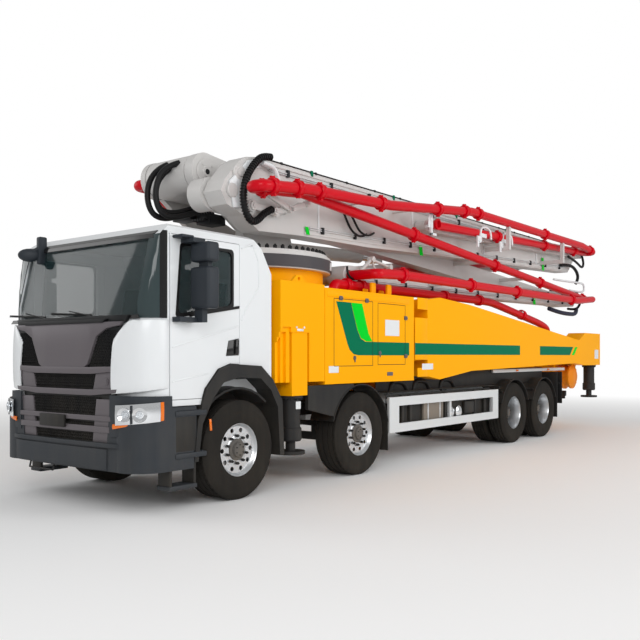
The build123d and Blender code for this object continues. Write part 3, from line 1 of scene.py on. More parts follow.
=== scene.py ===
# %% [markdown]
# # A concrete pump truck, dressed for the studio
#
# The solids of the truck come ready made, in metres, with +X forward, +Y to the left and +Z up.
# This lesson gives them their finishes and adds what is too fine for the solids: lamps, bolts,
# hoses, tread, stripes. Each step says what the real thing is before it is made.

# %% Load the truck's solids
import json
import math

import bmesh
import bpy
from mathutils import Matrix, Vector


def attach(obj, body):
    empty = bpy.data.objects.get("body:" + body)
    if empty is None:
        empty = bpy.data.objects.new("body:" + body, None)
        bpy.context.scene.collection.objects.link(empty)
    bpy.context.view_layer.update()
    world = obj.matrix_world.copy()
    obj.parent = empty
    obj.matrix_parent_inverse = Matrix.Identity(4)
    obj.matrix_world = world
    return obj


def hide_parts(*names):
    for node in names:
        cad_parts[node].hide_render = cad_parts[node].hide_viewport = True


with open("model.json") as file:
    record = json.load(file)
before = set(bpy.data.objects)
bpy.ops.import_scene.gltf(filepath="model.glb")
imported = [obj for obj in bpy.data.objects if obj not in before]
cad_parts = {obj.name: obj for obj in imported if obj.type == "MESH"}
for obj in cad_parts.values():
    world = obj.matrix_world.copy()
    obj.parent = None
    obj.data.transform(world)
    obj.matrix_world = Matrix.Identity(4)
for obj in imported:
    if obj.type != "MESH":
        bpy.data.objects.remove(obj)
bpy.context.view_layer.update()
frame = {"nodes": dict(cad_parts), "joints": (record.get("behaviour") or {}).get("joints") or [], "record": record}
nodes = frame["nodes"]
AXLE_1_X = next(joint for joint in frame["joints"] if joint["name"] == "wheel_1_left_spin")["pos_m"][0]


def at(distance):
    """X of a place this far ahead of the first axle, in metres."""
    return AXLE_1_X + distance


# %% [markdown]
# ## Camera
#
# The truck is seen from its front left corner, from a standing person's eye height. The camera
# is level, so upright edges stay upright, and a small lens shift brings the boom into the frame
# without tilting it.

# %% Camera
camera_data = bpy.data.cameras.new("camera")
camera_data.lens = 44.16
camera_data.sensor_width = 36
camera_data.shift_y = 0.05625
camera_data.clip_end = 200
camera = bpy.data.objects.new("camera", camera_data)
camera.location = (at(6.205), 7.162, 1.561)
camera.rotation_euler = Vector((-0.7887, -0.6148, 0)).to_track_quat("-Z", "Y").to_euler()
bpy.context.scene.collection.objects.link(camera)
bpy.context.scene.camera = camera
bpy.context.scene.view_settings.view_transform = "Standard"

# %% [markdown]
# ## Studio
#
# A plain pale floor, a white surround and three broad, soft lamps: one ahead, one at the side
# and a weaker one on the far side. The world is white to the eye and through glass. It lights
# the truck, and shows in reflections, at a lower level, so that colours come out as written.

# %% World, floor and lamps
LIGHTING_LEVEL = 0.50              # the world's strength, where 1 is white
FLOOR_FADE = (8.0, 20.0)           # the floor turns white between these distances
FLOOR_GREY = 0.93

world = bpy.data.worlds.new("studio")
bpy.context.scene.world = world
world.use_nodes = True
tree = world.node_tree
tree.nodes.clear()
rays = tree.nodes.new("ShaderNodeLightPath")
seen = tree.nodes.new("ShaderNodeMath")
seen.operation = "MAXIMUM"
level = tree.nodes.new("ShaderNodeMapRange")
level.inputs["To Min"].default_value = LIGHTING_LEVEL
level.inputs["To Max"].default_value = 1.0
surround = tree.nodes.new("ShaderNodeBackground")
surround.inputs["Color"].default_value = (1, 1, 1, 1)
world_out = tree.nodes.new("ShaderNodeOutputWorld")
tree.links.new(rays.outputs["Is Camera Ray"], seen.inputs[0])
tree.links.new(rays.outputs["Is Transmission Ray"], seen.inputs[1])
tree.links.new(seen.outputs[0], level.inputs["Value"])
tree.links.new(level.outputs["Result"], surround.inputs["Strength"])
tree.links.new(surround.outputs[0], world_out.inputs["Surface"])

floor_mesh = bpy.data.meshes.new("floor")
floor_bm = bmesh.new()
bmesh.ops.create_grid(floor_bm, x_segments=1, y_segments=1, size=60)
floor_bm.to_mesh(floor_mesh)
floor_bm.free()
floor = bpy.data.objects.new("floor", floor_mesh)
bpy.context.scene.collection.objects.link(floor)
floor.location.z = -0.001
floor_paint = bpy.data.materials.new("floor_paint")
floor_paint.use_nodes = True
floor_tree = floor_paint.node_tree
floor_shader = floor_tree.nodes["Principled BSDF"]
floor_shader.inputs["Base Color"].default_value = (FLOOR_GREY, FLOOR_GREY, FLOOR_GREY, 1)
floor_shader.inputs["Roughness"].default_value = 0.9
reach = floor_tree.nodes.new("ShaderNodeVectorMath")
reach.operation = "LENGTH"
floor_tree.links.new(floor_tree.nodes.new("ShaderNodeTexCoord").outputs["Object"], reach.inputs[0])
far = floor_tree.nodes.new("ShaderNodeMapRange")
far.inputs["From Min"].default_value, far.inputs["From Max"].default_value = FLOOR_FADE
floor_tree.links.new(reach.outputs["Value"], far.inputs["Value"])
floor_rays = floor_tree.nodes.new("ShaderNodeLightPath")
share = floor_tree.nodes.new("ShaderNodeMath")
share.operation = "MULTIPLY"
floor_tree.links.new(far.outputs["Result"], share.inputs[0])
floor_tree.links.new(floor_rays.outputs["Is Camera Ray"], share.inputs[1])
white = floor_tree.nodes.new("ShaderNodeEmission")
fade = floor_tree.nodes.new("ShaderNodeMixShader")
floor_tree.links.new(share.outputs[0], fade.inputs["Fac"])
floor_tree.links.new(floor_shader.outputs[0], fade.inputs[1])
floor_tree.links.new(white.outputs[0], fade.inputs[2])
floor_tree.links.new(fade.outputs[0], floor_tree.nodes["Material Output"].inputs["Surface"])
floor.data.materials.append(floor_paint)

for name, place, aim, size, power in (
        ("key_lamp", (at(12), 12, 9), (at(-3), 0, 1.5), 9, 1150),
        ("side_lamp", (at(-8), 15, 7), (at(-6), 0, 2), 10, 900),
        ("far_lamp", (at(6), -14, 8), (at(-3), 0, 2), 8, 420)):
    lamp_data = bpy.data.lights.new(name, "AREA")
    lamp_data.size = size
    lamp_data.energy = power
    lamp = bpy.data.objects.new(name, lamp_data)
    lamp.location = place
    lamp.rotation_euler = (Vector(aim) - Vector(place)).to_track_quat("-Z", "Y").to_euler()
    bpy.context.scene.collection.objects.link(lamp)

# %% [markdown]
# ## Finishes
#
# Every surface outdoors carries two things on top of its own colour: a film of dust that is
# thicker low down, and a fine unevenness, such as the orange peel of paint or the grain of
# moulded plastic. Each is a node group, built once and placed in every finish with its own
# values. They read Object coordinates, which are metres on the truck.

# %% Helpers for node groups
def colour(red, green, blue):
    """A colour written as on a paint chart, 0 to 255, as Blender's linear values."""
    def linear(value):
        value /= 255
        return value / 12.92 if value <= 0.04045 else ((value + 0.055) / 1.055) ** 2.4
    return (linear(red), linear(green), linear(blue), 1)


def new_group(name, ins, outs):
    """A shader node group with named sockets: (name, kind, value) in, (name, kind) out."""
    group = bpy.data.node_groups.new(name, "ShaderNodeTree")
    for socket_name, kind, value in ins:
        socket = group.interface.new_socket(socket_name, in_out="INPUT", socket_type=kind)
        socket.default_value = value
    for socket_name, kind in outs:
        group.interface.new_socket(socket_name, in_out="OUTPUT", socket_type=kind)
    return group, group.nodes.new("NodeGroupInput"), group.nodes.new("NodeGroupOutput")


def math_node(tree, operation, first, second, clamp=False):
    """A Math node on two values or sockets; returns its output."""
    node = tree.nodes.new("ShaderNodeMath")
    node.operation = operation
    node.use_clamp = clamp
    for index, value in enumerate((first, second)):
        if isinstance(value, (int, float)):
            node.inputs[index].default_value = value
        else:
            tree.links.new(value, node.inputs[index])
    return node.outputs[0]


def noise_node(tree, vector, scale, detail=3.0, stretch=None):
    """Noise on Object coordinates, stretched along an axis if asked; returns its value."""
    if stretch:
        mapping = tree.nodes.new("ShaderNodeMapping")
        mapping.inputs["Scale"].default_value = stretch
        tree.links.new(vector, mapping.inputs["Vector"])
        vector = mapping.outputs[0]
    noise = tree.nodes.new("ShaderNodeTexNoise")
    noise.inputs["Detail"].default_value = detail
    tree.links.new(vector, noise.inputs["Vector"])
    if isinstance(scale, (int, float)):
        noise.inputs["Scale"].default_value = scale
    else:
        tree.links.new(scale, noise.inputs["Scale"])
    return noise.outputs["Fac"]


# %% Dust: thicker near the road, in streaks that run down
dust_group, group_in, group_out = new_group(
    "road_dust",
    [("Paint", "NodeSocketColor", (0.8, 0.8, 0.8, 1)), ("Dust", "NodeSocketColor", (0.3, 0.27, 0.22, 1)),
     ("Amount", "NodeSocketFloat", 0.2), ("Shine", "NodeSocketFloat", 0.35)],
    [("Color", "NodeSocketColor"), ("Roughness", "NodeSocketFloat")])
place = dust_group.nodes.new("ShaderNodeTexCoord").outputs["Object"]
split = dust_group.nodes.new("ShaderNodeSeparateXYZ")
dust_group.links.new(place, split.inputs[0])
low = math_node(dust_group, "SUBTRACT", 1.0, math_node(dust_group, "MULTIPLY", split.outputs["Z"], 0.55),
                True)
cloud = noise_node(dust_group, place, 2.2, 6.0)
streak = noise_node(dust_group, place, 9.0, 4.0, (1.0, 1.0, 0.12))
patch = math_node(dust_group, "MULTIPLY", cloud, streak)
film = math_node(dust_group, "MULTIPLY", math_node(dust_group, "ADD", low, 0.22), patch)
film = math_node(dust_group, "MULTIPLY", film,
                 math_node(dust_group, "MULTIPLY", group_in.outputs["Amount"], 4.0), True)
blend = dust_group.nodes.new("ShaderNodeMix")
blend.data_type = "RGBA"
dust_group.links.new(film, blend.inputs["Factor"])
dust_group.links.new(group_in.outputs["Paint"], blend.inputs["A"])
dust_group.links.new(group_in.outputs["Dust"], blend.inputs["B"])
dust_group.links.new(blend.outputs["Result"], group_out.inputs["Color"])
rough = math_node(dust_group, "ADD", group_in.outputs["Shine"],
                  math_node(dust_group, "MULTIPLY", film, 0.5), True)
dust_group.links.new(rough, group_out.inputs["Roughness"])

# %% Grain: the fine unevenness of a surface, as a height for a Bump node
grain_group, group_in, group_out = new_group(
    "surface_grain",
    [("Scale", "NodeSocketFloat", 400.0), ("Waves", "NodeSocketFloat", 12.0),
     ("Wave share", "NodeSocketFloat", 0.3)],
    [("Height", "NodeSocketFloat")])
place = grain_group.nodes.new("ShaderNodeTexCoord").outputs["Object"]
fine = noise_node(grain_group, place, group_in.outputs["Scale"], 2.0)
wide = noise_node(grain_group, place, group_in.outputs["Waves"], 1.0)
height = math_node(grain_group, "ADD", fine,
                   math_node(grain_group, "MULTIPLY", wide, group_in.outputs["Wave share"]))
grain_group.links.new(height, group_out.inputs["Height"])

# %% Brushing: hairlines along the truck, for drawn or rolled metal
brush_group, group_in, group_out = new_group(
    "brushed_lines", [("Lines", "NodeSocketFloat", 300.0), ("Depth", "NodeSocketFloat", 0.15),
                      ("Shine", "NodeSocketFloat", 0.3)],
    [("Roughness", "NodeSocketFloat"), ("Height", "NodeSocketFloat")])
place = brush_group.nodes.new("ShaderNodeTexCoord").outputs["Object"]
lines = noise_node(brush_group, place, group_in.outputs["Lines"], 2.0, (0.03, 1.0, 1.0))
brush_group.links.new(lines, group_out.inputs["Height"])
uneven = math_node(brush_group, "ADD", group_in.outputs["Shine"],
                   math_node(brush_group, "MULTIPLY", lines, group_in.outputs["Depth"]), True)
brush_group.links.new(uneven, group_out.inputs["Roughness"])


# %% Makers for the finishes
FINISHES = {}


def set_inputs(node, values):
    """Sets a node's inputs by their names."""
    for name, value in values.items():
        node.inputs[name].default_value = value


def new_material(name):
    """A new finish under its name; returns its node tree and its shader."""
    material = bpy.data.materials.new(name)
    material.use_nodes = True
    FINISHES[name] = material
    return material.node_tree, material.node_tree.nodes["Principled BSDF"]


def add_group(tree, group, values):
    """A node that runs one of the groups above with the given values."""
    node = tree.nodes.new("ShaderNodeGroup")
    node.node_tree = group
    set_inputs(node, values)
    return node


def add_bump(tree, shader, height, strength, distance):
    """Turns a height into fine relief on the finish."""
    raised = tree.nodes.new("ShaderNodeBump")
    set_inputs(raised, {"Strength": strength, "Distance": distance})
    tree.links.new(height, raised.inputs["Height"])
    tree.links.new(raised.outputs["Normal"], shader.inputs["Normal"])


def finish(name, paint, shine=0.35, dust=0.15, dust_colour=(150, 138, 118), grain=450.0, bump=0.05,
           metal=0.0, coat=0.0, gloss=0.25):
    """Painted, moulded or rubber, with dust and grain. shine is its roughness where it is clean."""
    tree, shader = new_material(name)
    set_inputs(shader, {"Metallic": metal, "Coat Weight": coat, "Specular IOR Level": gloss,
                        "Coat Roughness": 0.08})
    dusty = add_group(tree, dust_group, {"Paint": colour(*paint), "Dust": colour(*dust_colour),
                                         "Amount": dust, "Shine": shine})
    tree.links.new(dusty.outputs["Color"], shader.inputs["Base Color"])
    tree.links.new(dusty.outputs["Roughness"], shader.inputs["Roughness"])
    grainy = add_group(tree, grain_group, {"Scale": grain, "Waves": 10.0, "Wave share": 0.3})
    add_bump(tree, shader, grainy.outputs["Height"], bump, 0.002)


def bright_metal(name, paint, shine=0.25, lines=250.0, depth=0.2, metal=1.0):
    """Bare or polished metal with fine lines along the truck."""
    tree, shader = new_material(name)
    set_inputs(shader, {"Base Color": colour(*paint), "Metallic": metal})
    brushed = add_group(tree, brush_group, {"Lines": lines, "Depth": depth, "Shine": shine})
    tree.links.new(brushed.outputs["Roughness"], shader.inputs["Roughness"])
    add_bump(tree, shader, brushed.outputs["Height"], 0.05, 0.001)


def clear(name, tint, alpha, shine=0.03):
    """Glass or a lamp's lens: a thin tinted pane that lets part of the light through."""
    set_inputs(new_material(name)[1], {"Base Color": colour(*tint), "Roughness": shine,
                                       "Alpha": alpha, "Specular IOR Level": 0.7})


# %% The truck's finishes
finish("white_paint", (228, 231, 233), 0.24, 0.05, coat=0.3, grain=900, bump=0.02)
finish("yellow_paint", (255, 174, 0), 0.36, 0.02, (170, 110, 10), gloss=0.06, grain=700, bump=0.03)
finish("light_grey_paint", (206, 204, 202), 0.40, 0.14, (150, 140, 130), coat=0.10, grain=600, bump=0.04)
finish("red_paint", (206, 0, 24), 0.32, 0.02, (120, 20, 20), coat=0.08, gloss=0.15, grain=700, bump=0.03)
finish("dark_steel", (26, 28, 32), 0.5, 0.06, grain=250, bump=0.08)
finish("cast", (74, 74, 76), 0.6, 0.25, grain=180, bump=0.15)
finish("slate_plastic", (42, 48, 55), 0.48, 0.05, grain=1200, bump=0.12)
finish("grey_plastic", (92, 88, 92), 0.45, 0.06, grain=1200, bump=0.10)
finish("black_plastic", (22, 24, 27), 0.5, 0.07, grain=1100, bump=0.12)
finish("tyre", (34, 33, 32), 0.85, 0.08, (110, 100, 86), gloss=0.1, grain=500, bump=0.2)
finish("dark_green", (0, 112, 78), 0.4, 0.01, gloss=0.04, grain=700, bump=0.02)
finish("bright_green", (0, 210, 44), 0.4, 0.01, gloss=0.04, grain=700, bump=0.02)
finish("gloss_black", (18, 19, 21), 0.12, 0.05, coat=0.3, grain=900, bump=0.02)
finish("screen_tint", (46, 60, 62), 0.05, 0.02, coat=0.5, grain=300, bump=0.0)
finish("hose_rubber", (16, 16, 18), 0.5, 0.03, grain=900, bump=0.1)
finish("ring_grey", (70, 68, 72), 0.5, 0.08, grain=500, bump=0.08)
finish("tank_grey", (128, 120, 112), 0.45, 0.2, grain=400, bump=0.08, metal=0.3)
finish("navy_rubber", (28, 36, 62), 0.5, 0.08, grain=900, bump=0.1)
finish("pump_orange", (238, 140, 8), 0.4, 0.10, (120, 90, 50), grain=500, bump=0.06)
finish("dash_plastic", (62, 58, 56), 0.6, 0.0, grain=1500, bump=0.2)
bright_metal("bare_aluminium", (222, 225, 226), 0.38, 220, 0.25, 0.45)
bright_metal("rim_silver", (214, 216, 218), 0.24, 160, 0.15)
bright_metal("chrome", (228, 230, 232), 0.06, 300, 0.05)
finish("silver_trim", (104, 99, 103), 0.42, 0.04, grain=1500, bump=0.05, metal=0.35)
clear("glass", (38, 58, 60), 0.42)
clear("lens", (225, 232, 238), 0.35)
clear("amber_lens", (245, 120, 10), 0.9, 0.1)
clear("red_lens", (190, 12, 16), 0.92, 0.1)
print("finishes", sorted(FINISHES))

# %% Each solid gets its finish
for subpart in frame["record"]["subparts"]:
    solid = nodes[subpart["node"]]
    wanted = {"cab_interior": "dash_plastic", "hopper": "yellow_paint"}.get(
        subpart["node"], subpart["material_slot"])
    solid.data.materials.clear()
    solid.data.materials.append(FINISHES[wanted])

# %% [markdown]
# ## Shaping helpers
#
# Small pieces start from Blender's own shapes. A helper puts each into a bmesh at its place, and
# one call at the end turns the bmesh into an object that rides on the right part of the truck.

# %% Steps that many shapes share
def pour(bm, made):
    """Adds the shape of one bmesh to another, and frees the one it came from."""
    holder = bpy.data.meshes.new("holder")
    made.to_mesh(holder)
    bm.from_mesh(holder)
    made.free()
    bpy.data.meshes.remove(holder)


def thicken(bm, faces, way):
    """Extrudes faces by a vector; returns the corners of the moved copy."""
    grown = bmesh.ops.extrude_face_region(bm, geom=faces)
    moved = [item for item in grown["geom"] if isinstance(item, bmesh.types.BMVert)]
    bmesh.ops.translate(bm, vec=way, verts=moved)
    return moved


def round_edges(bm, edges, width, segments=2):
    """Rounds edges, or bevels them where there is one segment."""
    bmesh.ops.bevel(bm, geom=edges, offset=width, segments=segments, affect="EDGES",
                    profile=0.5, material=-1, clamp_overlap=True)


def chain(bm, verts):
    """Joins points in a row by edges."""
    return [bm.edges.new(pair) for pair in zip(verts, verts[1:])]


def bridge_rows(bm, rows):
    """Fills between each row of edges and the next."""
    for first, second in zip(rows, rows[1:]):
        bmesh.ops.bridge_loops(bm, edges=first + second)


def circle_spots(count, radius, shift=0.0):
    """Points evenly round a circle; shift turns them by that share of a step."""
    turns = [math.tau * (number + shift) / count for number in range(count)]
    return [(radius * math.cos(turn), radius * math.sin(turn)) for turn in turns]


# %% Shapes in a bmesh
def add_block(bm, low, high, bevel=0.0, segments=2):
    """A box between two corners, with its edges rounded if asked."""
    low, high = Vector(low), Vector(high)
    size = high - low
    verts = bmesh.ops.create_cube(bm, size=1.0)["verts"]
    bmesh.ops.scale(bm, vec=[abs(value) for value in size], verts=verts)
    bmesh.ops.translate(bm, vec=(low + high) / 2, verts=verts)
    if bevel:
        edges = list(dict.fromkeys(edge for vert in verts for edge in vert.link_edges))
        round_edges(bm, edges, bevel, segments)


def add_rod(bm, start, end, radius, sides=24, tip_radius=None):
    """A round bar or cone from one point to another."""
    start, end = Vector(start), Vector(end)
    run = end - start
    turn = run.to_track_quat("Z", "Y").to_matrix().to_4x4()
    bmesh.ops.create_cone(bm, cap_ends=True, segments=sides, radius1=radius,
                          radius2=radius if tip_radius is None else tip_radius, depth=run.length,
                          matrix=Matrix.Translation((start + end) / 2) @ turn)


def add_turned(bm, centre, axis, outline, steps=48, closed=True):
    """A body turned about an axis, from (distance along it, radius) points."""
    centre, axis = Vector(centre), Vector(axis).normalized()
    side = axis.orthogonal().normalized()
    verts = [bm.verts.new(centre + axis * along + side * radius) for along, radius in outline]
    pairs = list(zip(verts, verts[1:]))
    if closed:
        pairs.append((verts[-1], verts[0]))
    edges = [bm.edges.new(pair) for pair in pairs]
    bmesh.ops.spin(bm, geom=verts + edges, cent=centre, axis=axis, angle=math.tau,
                   steps=steps, use_merge=True, use_duplicate=False)


def add_plate(bm, corners, thickness, bevel=0.0):
    """A flat plate on a loop of corners, thickened along its own normal by the given vector."""
    verts = [bm.verts.new(corner) for corner in corners]
    face = bm.faces.new(verts)
    top = thicken(bm, [face], thickness)
    if bevel:
        edges = list(dict.fromkeys(edge for vert in verts + top for edge in vert.link_edges))
        round_edges(bm, edges, bevel)


def finish_piece(name, bm, finish_name, body, smooth=True):
    """Makes the bmesh an object with its finish, riding on a body of the truck."""
    bmesh.ops.recalc_face_normals(bm, faces=bm.faces)
    mesh = bpy.data.meshes.new(name)
    bm.to_mesh(mesh)
    bm.free()
    if smooth:
        mesh.polygons.foreach_set("use_smooth", [True] * len(mesh.polygons))
        mesh.set_sharp_from_angle(angle=math.radians(35))
    piece = bpy.data.objects.new(name, mesh)
    bpy.context.scene.collection.objects.link(piece)
    mesh.materials.append(FINISHES[finish_name])
    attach(piece, body)
    return piece


def add_hose(name, points, radius, finish_name, body, resolution=4):
    """A held pipe or hose: one smooth NURBS line through the given control points."""
    curve = bpy.data.curves.new(name, "CURVE")
    curve.dimensions = "3D"
    curve.bevel_depth = radius
    curve.bevel_resolution = resolution
    curve.use_fill_caps = True
    spline = curve.splines.new("NURBS")
    spline.points.add(len(points) - 1)
    for point, place in zip(spline.points, points):
        point.co = (*place, 1)
    spline.order_u = 3
    spline.use_endpoint_u = True
    spline.resolution_u = 6
    hose = bpy.data.objects.new(name, curve)
    bpy.context.scene.collection.objects.link(hose)
    curve.materials.append(FINISHES[finish_name])
    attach(hose, body)
    return hose


SIDES = (("left", 1), ("right", -1))

# %% [markdown]
# ## Tyres
#
# A lorry tyre has a nearly flat tread with a few deep grooves running round it, square shoulders
# and a smooth sidewall with thin raised rings. Since all of it runs round the axle, one half
# section turned with spin gives the whole tyre. The thin sipes across the shoulder blocks are
# notches: spin leaves an even ring of faces there, and every third one is pressed in.

# %% Turn the tyres, grooves and all
WHEEL_Z = 0.54
AXLES = {1: at(0), 2: at(-2.28), 3: at(-7.13), 4: at(-8.48)}
SIPE_DEPTH = 0.008
SHOULDER_RADIUS = 0.537                # faces further out than this belong to the tread
STEER_TYRE = (1.048, 0.19, 0.115)      # middle in Y, half width, outermost groove from the middle
TWIN_TYRES = ((1.085, 0.15, 0.088), (0.740, 0.15, 0.088))


def tyre_outline(half, groove_reach):
    """Half section of a tyre with four grooves, as (distance from its middle, radius)."""
    outline = [(-half + 0.025, 0.2885), (-half + 0.006, 0.330), (-half, 0.378), (-half - 0.001, 0.392),
               (-half, 0.406), (-half + 0.002, 0.455), (-half + 0.001, 0.462), (-half + 0.004, 0.480),
               (-half + 0.012, 0.512), (-half + 0.040, 0.5400)]
    for step in (-1, -0.36, 0.36, 1):
        middle = step * groove_reach
        outline += [(middle - 0.0065, 0.5395), (middle - 0.004, 0.525), (middle + 0.004, 0.525),
                    (middle + 0.0065, 0.5395)]
    return outline + [(-along, radius) for along, radius in outline[9::-1]]


def press_sipes(bm, centre, depth, first, last):
    """Presses in every third face of the tread's shoulders, to part the blocks."""
    chosen = []
    for face in bm.faces:
        spot = face.calc_center_median() - centre
        radius = math.hypot(spot.x, spot.z)
        if radius > SHOULDER_RADIUS and first < abs(spot.y) < last:
            turn = int(math.degrees(math.atan2(spot.z, spot.x)) / 2.5)
            if turn % 3 == 0:
                chosen.append(face)
    pressed = bmesh.ops.inset_individual(bm, faces=chosen, thickness=0.0035, depth=-depth)
    return len(pressed["faces"])


tyre_sipes = 0
for side_name, side in SIDES:
    for axle, axle_x in AXLES.items():
        bm = bmesh.new()
        for middle, half, reach in ([STEER_TYRE] if axle < 3 else TWIN_TYRES):
            ring = bmesh.new()
            centre = Vector((axle_x, side * middle, WHEEL_Z))
            add_turned(ring, centre, (0, 1, 0), tyre_outline(half, reach), steps=144)
            bmesh.ops.recalc_face_normals(ring, faces=ring.faces)
            tyre_sipes += press_sipes(ring, centre, SIPE_DEPTH, reach + 0.008, half - 0.038)
            pour(bm, ring)
        tyre = finish_piece(f"tread_{axle}_{side_name}", bm, "tyre", f"wheel_{axle}_{side_name}")
        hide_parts(f"tyre_{axle}_{side_name}")
print("tyres with", tyre_sipes, "sipes")

# %% [markdown]
# ## Rims
#
# A steel disc wheel: a barrel with a rolled edge, a dished disc with ten round holes near its
# rim, ten wheel nuts and a hub that stands out. The barrel, the dish and the hub are turned. A
# turned body can't have holes, so the ring that carries them is drawn flat: three kinds of
# circles, outside, inside and holes, filled between by triangle_fill and then extruded.

# %% The disc with its ten holes
def add_holed_ring(bm, centre, side, inner, outer, hole_circle, hole_radius, count, thickness):
    """A flat ring across the axle with round holes, its outer face at centre."""
    turn = Matrix.Rotation(math.radians(-90 * side), 4, "X")
    placed = Matrix.Translation(centre) @ turn
    made = bmesh.new()
    for radius, segments in ((inner, 40), (outer, 60)):
        bmesh.ops.create_circle(made, segments=segments, radius=radius, cap_ends=False)
    for across, along in circle_spots(count, hole_circle):
        bmesh.ops.create_circle(made, segments=14, radius=hole_radius, cap_ends=False,
                                matrix=Matrix.Translation((across, along, 0)))
    bmesh.ops.triangle_fill(made, edges=made.edges[:], use_beauty=True)
    thicken(made, made.faces[:], (0, 0, -thickness))
    bmesh.ops.transform(made, matrix=placed, verts=made.verts[:])
    bmesh.ops.recalc_face_normals(made, faces=made.faces[:])
    pour(bm, made)


def add_wheel_nuts(bm, centre, side, circle, count, radius, length):
    """A circle of six-sided nuts with round studs through them."""
    for along, up in circle_spots(count, circle, 0.5):
        spot = centre + Vector((along, 0, up))
        add_rod(bm, spot, spot + Vector((0, side * length, 0)), radius, 6)
        add_rod(bm, spot, spot + Vector((0, side * (length + 0.012), 0)), radius * 0.55, 10)


# %% Rims: in front the disc lies near the outer edge, behind it sits deep between two barrels
def turned_piece(bm, x, side, outline, steps=60):
    """A closed outline in (Y outwards, radius) turned about a wheel's axis."""
    add_turned(bm, (x, 0, WHEEL_Z), (0, side, 0), outline, steps)


# disc: outer face in Y, inner and outer radius, hole circle, hole radius, holes, thickness
# nuts: seat in Y, circle, count, radius, length
RIMS = {
    "front": dict(
        axles=(1, 2),
        barrel=[(0.888, 0.288), (0.888, 0.306), (0.896, 0.306), (0.902, 0.288), (1.194, 0.288),
                (1.200, 0.306), (1.208, 0.308), (1.211, 0.302), (1.209, 0.286), (1.196, 0.276),
                (1.180, 0.270), (1.166, 0.254), (1.154, 0.254), (1.166, 0.274), (0.900, 0.274)],
        disc=(1.166, 0.150, 0.256, 0.218, 0.026, 10, 0.012),
        collar=[(1.154, 0.152), (1.166, 0.152), (1.171, 0.140), (1.171, 0.118), (1.154, 0.118)],
        hub=[(1.150, 0.120), (1.178, 0.120), (1.184, 0.108), (1.188, 0.084), (1.214, 0.078),
             (1.220, 0.070), (1.222, 0.040), (1.223, 0.0), (1.165, 0.0), (1.165, 0.046),
             (1.030, 0.046), (1.030, 0.132), (1.150, 0.132)],
        nuts=((1.170, 0.1500, 10, 0.0165, 0.026), (1.212, 0.056, 6, 0.008, 0.010))),
    "rear": dict(
        axles=(3, 4),
        barrel=[(0.620, 0.288), (0.620, 0.306), (0.628, 0.306), (0.634, 0.288), (1.192, 0.288),
                (1.198, 0.306), (1.206, 0.308), (1.208, 0.302), (1.206, 0.286), (1.190, 0.277),
                (1.000, 0.272), (0.940, 0.262), (0.928, 0.240), (0.916, 0.240), (0.900, 0.270),
                (0.632, 0.274)],
        disc=(0.929, 0.140, 0.250, 0.205, 0.028, 10, 0.014),
        collar=[(0.915, 0.142), (0.935, 0.142), (0.940, 0.130), (0.940, 0.110), (0.915, 0.110)],
        hub=[(0.915, 0.118), (0.960, 0.116), (1.080, 0.108), (1.092, 0.098), (1.096, 0.060),
             (1.112, 0.056), (1.114, 0.0), (1.070, 0.0), (1.070, 0.063), (0.705, 0.063),
             (0.705, 0.132), (0.905, 0.132)],
        nuts=((0.938, 0.1480, 10, 0.0165, 0.030), (1.090, 0.080, 8, 0.008, 0.010)))}

for kind, shape in RIMS.items():
    for side_name, side in SIDES:
        for axle in shape["axles"]:
            x, wheel = AXLES[axle], f"wheel_{axle}_{side_name}"
            bm = bmesh.new()
            turned_piece(bm, x, side, shape["barrel"])
            face_y, *ring = shape["disc"]
            add_holed_ring(bm, Vector((x, side * face_y, WHEEL_Z)), side, *ring)
            turned_piece(bm, x, side, shape["collar"])
            rim = finish_piece(f"rim_{kind}_{axle}_{side_name}", bm, "rim_silver", wheel)
            bm = bmesh.new()
            turned_piece(bm, x, side, shape["hub"], 48)
            finish_piece(f"hub_{kind}_{axle}_{side_name}", bm, "cast", wheel)
            bm = bmesh.new()
            for seat_y, *nut in shape["nuts"]:
                add_wheel_nuts(bm, Vector((x, side * seat_y, WHEEL_Z)), side, *nut)
            finish_piece(f"nuts_{kind}_{axle}_{side_name}", bm, "dark_steel", wheel)
            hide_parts(f"rim_{axle}_{side_name}")
    print(kind, "rims on axles", *shape["axles"])

# %% [markdown]
# ## Cab front
#
# A modern cab's face is moulded from several skins: a cowl under the windscreen, a wide panel
# whose lower edge dips in the middle, mesh at its sides, then bars with mesh behind them, and
# painted corner panels. All of these bow forward together, so each is drawn as a flat strip,
# cut into short pieces across, and then every vertex is pushed back by the same curve.

# %% The curve that the face follows
FACE_X = at(1.372)


def bow(bm, verts=None):
    """Pushes points back along X by their distance from the middle, as the cab's face bows."""
    for vert in verts or bm.verts:
        reach = abs(vert.co.y)
        vert.co.x -= 0.020 * (reach / 0.9) ** 2 + 0.55 * max(0.0, reach - 0.80) ** 1.6


def add_face_panel(bm, corners, front, thickness, cuts=14, bevel=0.004):
    """A panel of the cab's face from (Y, Z) corners: flat, cut across and then bowed."""
    made = bmesh.new()
    verts = [made.verts.new((front, y, z)) for y, z in corners]
    face = made.faces.new(verts)
    thicken(made, [face], (-thickness, 0, 0))
    bmesh.ops.recalc_face_normals(made, faces=made.faces[:])
    if bevel:
        edges = [edge for edge in made.edges if all(abs(vert.co.x - front) < 1e-6 for vert in edge.verts)]
        round_edges(made, edges, bevel)
    low = min(y for y, _ in corners)
    high = max(y for y, _ in corners)
    for number in range(1, cuts):
        bmesh.ops.bisect_plane(made, geom=made.verts[:] + made.edges[:] + made.faces[:],
                               plane_co=(0, low + (high - low) * number / cuts, 0), plane_no=(0, 1, 0))
    bow(made)
    pour(bm, made)


def mirror_y(corners):
    return [(-y, z) for y, z in reversed(corners)]


